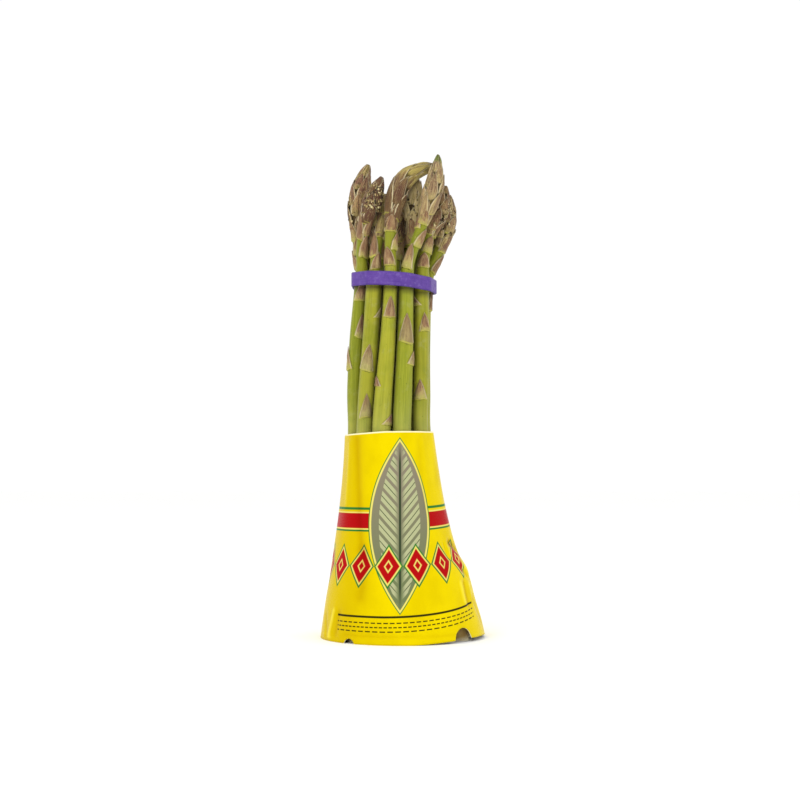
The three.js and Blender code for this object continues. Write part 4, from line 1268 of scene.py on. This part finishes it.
def foot_height(turn):
    """Height of the sleeve's lower edge, which the half-round notches lift."""
    here = sleeve_point(0, turn, NOTCH_INSET)
    height = 0.0
    for angle, radius, centre_z in NOTCHES:
        direction = math.radians(angle)
        off = here - sleeve_point(0, direction, NOTCH_INSET)
        beside = off.x * -math.sin(direction) + off.y * math.cos(direction)
        facing = here.x * math.cos(direction) + here.y * math.sin(direction) > 0
        if facing and abs(beside) < radius:
            height = max(height, centre_z + math.sqrt(radius**2 - beside**2))
    return height


def sheet_turns():
    """Compass turns of the sheet's columns, from its hidden edge to its glued edge, closer at the notches."""
    turns = [SHEET_START + (SHEET_END - SHEET_START) * k / SHEET_COLUMNS for k in range(SHEET_COLUMNS + 1)]
    for angle, radius, _ in NOTCHES:
        middle = math.radians(angle)
        here = sleeve_point(0, middle, 0)
        for k in range(NOTCH_COLUMNS + 1):
            beside = (radius + NOTCH_SIDE) * math.cos(math.pi * k / NOTCH_COLUMNS)
            turn = middle + math.asin(beside / math.hypot(here.x, here.y))
            laps = (turn + 2 * math.pi * lap for lap in (0, 1, 2))
            turns += [lap for lap in laps if SHEET_START < lap < SHEET_END]
    turns.sort()
    return [turn for turn, following in zip(turns, [*turns[1:], math.inf]) if following - turn > SAME_TURN]


def crease_depth(u, z):
    """How deep all the creases together go at a place on the face."""
    depth = 0.0
    for (u0, z0), (u1, z1), amount, width in CREASES:
        along = clamp(((u - u0) * (u1 - u0) + (z - z0) * (z1 - z0)) / ((u1 - u0) ** 2 + (z1 - z0) ** 2))
        away = math.hypot(u - u0 - along * (u1 - u0), z - z0 - along * (z1 - z0))
        depth += amount * math.exp(-(away / width) ** 1.5)
    return depth


def sheet_column(turn, depth):
    """A column of the sheet from the foot up: each point, its place in the print, way to the top and fold."""
    lap = math.radians(SEAM_LAP)
    under = clamp(1 - (turn - SHEET_START) / lap / LAP_IN_FADE)
    over = clamp(1 - (SHEET_END - turn) / lap / LAP_OUT_FADE)
    inset = SHEET_IN + LAP_IN * smooth(under) - LAP_OUT * smooth(over)
    dip = TOP_DIP * smooth(clamp(-0.5 * math.cos(turn - TOP_TURN) + 0.5))
    dip += LEFT_DIP * clamp(-math.cos(turn) - 0.1)
    foot = foot_height(turn)
    foot += FOOT_RISE * clamp((math.cos(turn) - 0.12) / 0.7) * clamp(-math.sin(turn) * 3 + 0.6)
    for k in range(SHEET_ROWS + 1):
        share = k / SHEET_ROWS
        z = foot + (SLEEVE_TOP_Z - dip - foot) * share
        u = arc_from_front(z, turn)
        press = PRESS * share * (1 + math.cos(turn * PRESS_WAVES + PRESS_DRIFT * math.sin(turn * 2)))
        creased = max(DEEPEST_RIDGE, crease_depth(u, z))
        point = sleeve_point(z, turn, inset + depth + (press + creased) * (1 - over) * (1 - under))
        middle = column(SLEEVE, 1, z)
        sag = SAG_LOW + (SAG_HIGH - SAG_LOW) * clamp((z - SAG_LOW_Z) / (SAG_HIGH_Z - SAG_LOW_Z))
        printed = (u + middle, z - sag * clamp(u - SAG_FROM, 0, SAG_REACH) ** 2,
                   arc_from_front(LOZENGE_Z, turn) + middle)
        yield point * MM, printed, SLEEVE_TOP_Z - dip - z, creased


def make_sleeve(look):
    """One sheet of paper wrapped round into a flared tube, its edge glued over its own start at the back."""
    turns = sheet_turns()
    points, prints, from_top, folds = zip(*(
        row for depth in (0.0, PAPER) for turn in turns for row in sheet_column(turn, depth)))
    n, columns, high = len(points) // 2, len(turns), SHEET_ROWS + 1
    faces, sides = [], []

    def add(side, *corners):
        faces.append(corners)
        sides.append(side)

    for c in range(columns - 1):
        here, beside = c * high, (c + 1) * high
        for a, b in zip(range(here, here + SHEET_ROWS), range(beside, beside + SHEET_ROWS)):
            add("outer", a, b, b + 1, a + 1)
            add("inner", a + n, a + 1 + n, b + 1 + n, b + n)
        add("rim", here, here + n, beside + n, beside)
        top = here + SHEET_ROWS
        add("rim", top, top + high, top + high + n, top + n)
    for start in range(SHEET_ROWS):
        end = (columns - 1) * high + start
        add("rim", start, start + 1, start + 1 + n, start + n)
        add("rim", end, end + n, end + 1 + n, end + 1)
    mesh = new_mesh("paper_sleeve", points, (), faces)
    mark(mesh, "print", prints, "FLOAT_VECTOR")
    mark(mesh, "from_top", from_top)
    mark(mesh, "fold", folds)
    for name in ("outer", "rim"):
        mark(mesh, name, [float(side == name) for side in sides], domain="FACE")
    mesh.polygons.foreach_set("use_smooth", [side != "rim" for side in sides])
    mesh.materials.append(sleeve_paper(look))
    mesh.update()
    if mesh.validate():
        raise RuntimeError("the sleeve's mesh has bad faces")
    finished(new_object("printed_paper_sleeve", mesh), "paper_sleeve", "paper_sleeve")


# ---------------------------------------------------------------- stage
def make_floor():
    reach = FLOOR_REACH
    corners = [(-reach, -reach, 0), (reach, -reach, 0), (reach, reach, 0), (-reach, reach, 0)]
    mesh = new_mesh("studio_floor", corners, (), [(0, 1, 2, 3)])
    floor = new_object("studio_floor", mesh)
    b = ShaderBuild("Pale floor", Roughness=0.9, Specular_IOR_Level=0.1)
    mesh.materials.append(b.finish(b.tint(b.noise(b.object_place(), 0.004, 2, 0.5), "FCFCFB", "FEFEFD")))
    floor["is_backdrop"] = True


def make_stage(look):
    make_floor()
    scene = bpy.context.scene
    for name, place, size, power in LIGHTS:
        light = bpy.data.lights.new(name, "AREA")
        light.shape = "DISK"
        light.size = size
        light.energy = power * look.light
        new_object(name, light, place, LIGHTS_AIM)
    scene.world = bpy.data.worlds.new("Pale studio")
    scene.world.use_nodes = True
    background = scene.world.node_tree.nodes["Background"]
    background.inputs["Color"].default_value = (1.0, 1.0, 1.0, 1.0)
    background.inputs["Strength"].default_value = look.world
    camera = bpy.data.cameras.new("Camera")
    camera.lens = look.lens
    camera.sensor_width = SENSOR_WIDTH
    scene.camera = new_object("Camera", camera, Vector(look.camera_place) * MM, Vector(look.camera_aim) * MM)
    scene.view_settings.view_transform = "Standard"


# ---------------------------------------------------------------- settings, operators and panel
def colour_property(name, description, hexadecimal):
    return FloatVectorProperty(name=name, description=description, subtype="COLOR", size=4, min=0.0, max=1.0,
                               default=linear(hexadecimal))


class SpearSettings(bpy.types.PropertyGroup):
    seed: IntProperty(name="Seed", description="Draw of the scales' sizes and turns", default=7, min=0)
    fibre_depth: FloatProperty(name="Fibre depth", description="Relief of the stem's fibres, in millimetres",
                               default=0.09, min=0.0, max=0.4)
    scale_thickness: FloatProperty(name="Scale thickness", description="Thickness of a scale, in millimetres",
                                   default=0.22, min=0.1, max=0.6)
    stem_green: colour_property("Stem green", "Greener parts of the stems", "7D841A")
    stem_yellow: colour_property("Stem yellow", "Yellower parts of the stems", "9A9826")
    scale_mauve: colour_property("Scale mauve", "Darker scales of the heads", "7A5241")
    scale_tan: colour_property("Scale tan", "Paler scales of the heads", "A38158")


class BandSettings(bpy.types.PropertyGroup):
    violet: colour_property("Violet", "Colour of the rubber", "4E2F86")


class SleeveSettings(bpy.types.PropertyGroup):
    sleeve_yellow: colour_property("Yellow", "Ground of the print", "E0C800")
    sleeve_red: colour_property("Red", "Red ink of the print", "A90811")
    sleeve_green: colour_property("Green", "Green ink of the print", "2A7430")


class StageSettings(bpy.types.PropertyGroup):
    camera_place: FloatVectorProperty(name="Camera place", description="The camera's place, in millimetres",
                                      default=(-1.5, -680.0, 80.0))
    camera_aim: FloatVectorProperty(name="Camera aim", description="What the camera looks at, in millimetres",
                                    default=(-1.5, 0.0, 117.5))
    lens: FloatProperty(name="Lens", description="Focal length, in millimetres", default=61.2, min=20.0)
    light: FloatProperty(name="Light", description="Strength of all lamps", default=1.0, min=0.0)
    world: FloatProperty(name="Surround", description="Strength of the pale surround", default=1.02, min=0.0)


class ASPARAGUS_OT_spears(bpy.types.Operator):
    """Grow the spears of the bundle on their lines"""

    bl_idname = "asparagus.spears"
    bl_label = "Make spears"

    def execute(self, context):
        make_spears(context.scene.asparagus_spears)
        return {"FINISHED"}


class ASPARAGUS_OT_band(bpy.types.Operator):
    """Stretch the rubber band round the spears"""

    bl_idname = "asparagus.band"
    bl_label = "Make rubber band"

    def execute(self, context):
        make_band(context.scene.asparagus_band)
        return {"FINISHED"}


class ASPARAGUS_OT_sleeve(bpy.types.Operator):
    """Wrap the printed paper sleeve round the butts"""

    bl_idname = "asparagus.sleeve"
    bl_label = "Make paper sleeve"

    def execute(self, context):
        make_sleeve(context.scene.asparagus_sleeve)
        return {"FINISHED"}


class ASPARAGUS_OT_stage(bpy.types.Operator):
    """Set the floor, the lights and the camera"""

    bl_idname = "asparagus.stage"
    bl_label = "Set stage"

    def execute(self, context):
        make_stage(context.scene.asparagus_stage)
        return {"FINISHED"}


class ASPARAGUS_PT_bundle(bpy.types.Panel):
    """Lists the bundle's settings and the buttons that make its pieces"""

    bl_idname = "ASPARAGUS_PT_bundle"
    bl_label = "Asparagus Bundle"
    bl_space_type = "VIEW_3D"
    bl_region_type = "UI"
    bl_category = "Asparagus"

    def draw(self, context):
        for settings in SETTINGS:
            box = self.layout.box()
            group = getattr(context.scene, settings)
            for name in group.bl_rna.properties.keys():
                if name not in ("rna_type", "name"):
                    box.prop(group, name)
            box.operator(settings.replace("_", "."))


SETTINGS = {
    "asparagus_spears": SpearSettings,
    "asparagus_band": BandSettings,
    "asparagus_sleeve": SleeveSettings,
    "asparagus_stage": StageSettings,
}
CLASSES = [*SETTINGS.values(), ASPARAGUS_OT_spears, ASPARAGUS_OT_band, ASPARAGUS_OT_sleeve,
           ASPARAGUS_OT_stage, ASPARAGUS_PT_bundle]


def register():
    for cls in CLASSES:
        bpy.utils.register_class(cls)
    for name, group in SETTINGS.items():
        setattr(bpy.types.Scene, name, PointerProperty(type=group))


def unregister():
    for name in SETTINGS:
        delattr(bpy.types.Scene, name)
    for cls in reversed(CLASSES):
        bpy.utils.unregister_class(cls)


def main():
    register()
    bpy.ops.asparagus.stage()
    bpy.ops.asparagus.spears()
    bpy.ops.asparagus.band()
    bpy.ops.asparagus.sleeve()
    boxes = {"frame": FRAME_BOX, "scene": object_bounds()}
    {key: [list(corner) for corner in box] for key, box in boxes.items()}


if __name__ == "__main__":
    main()
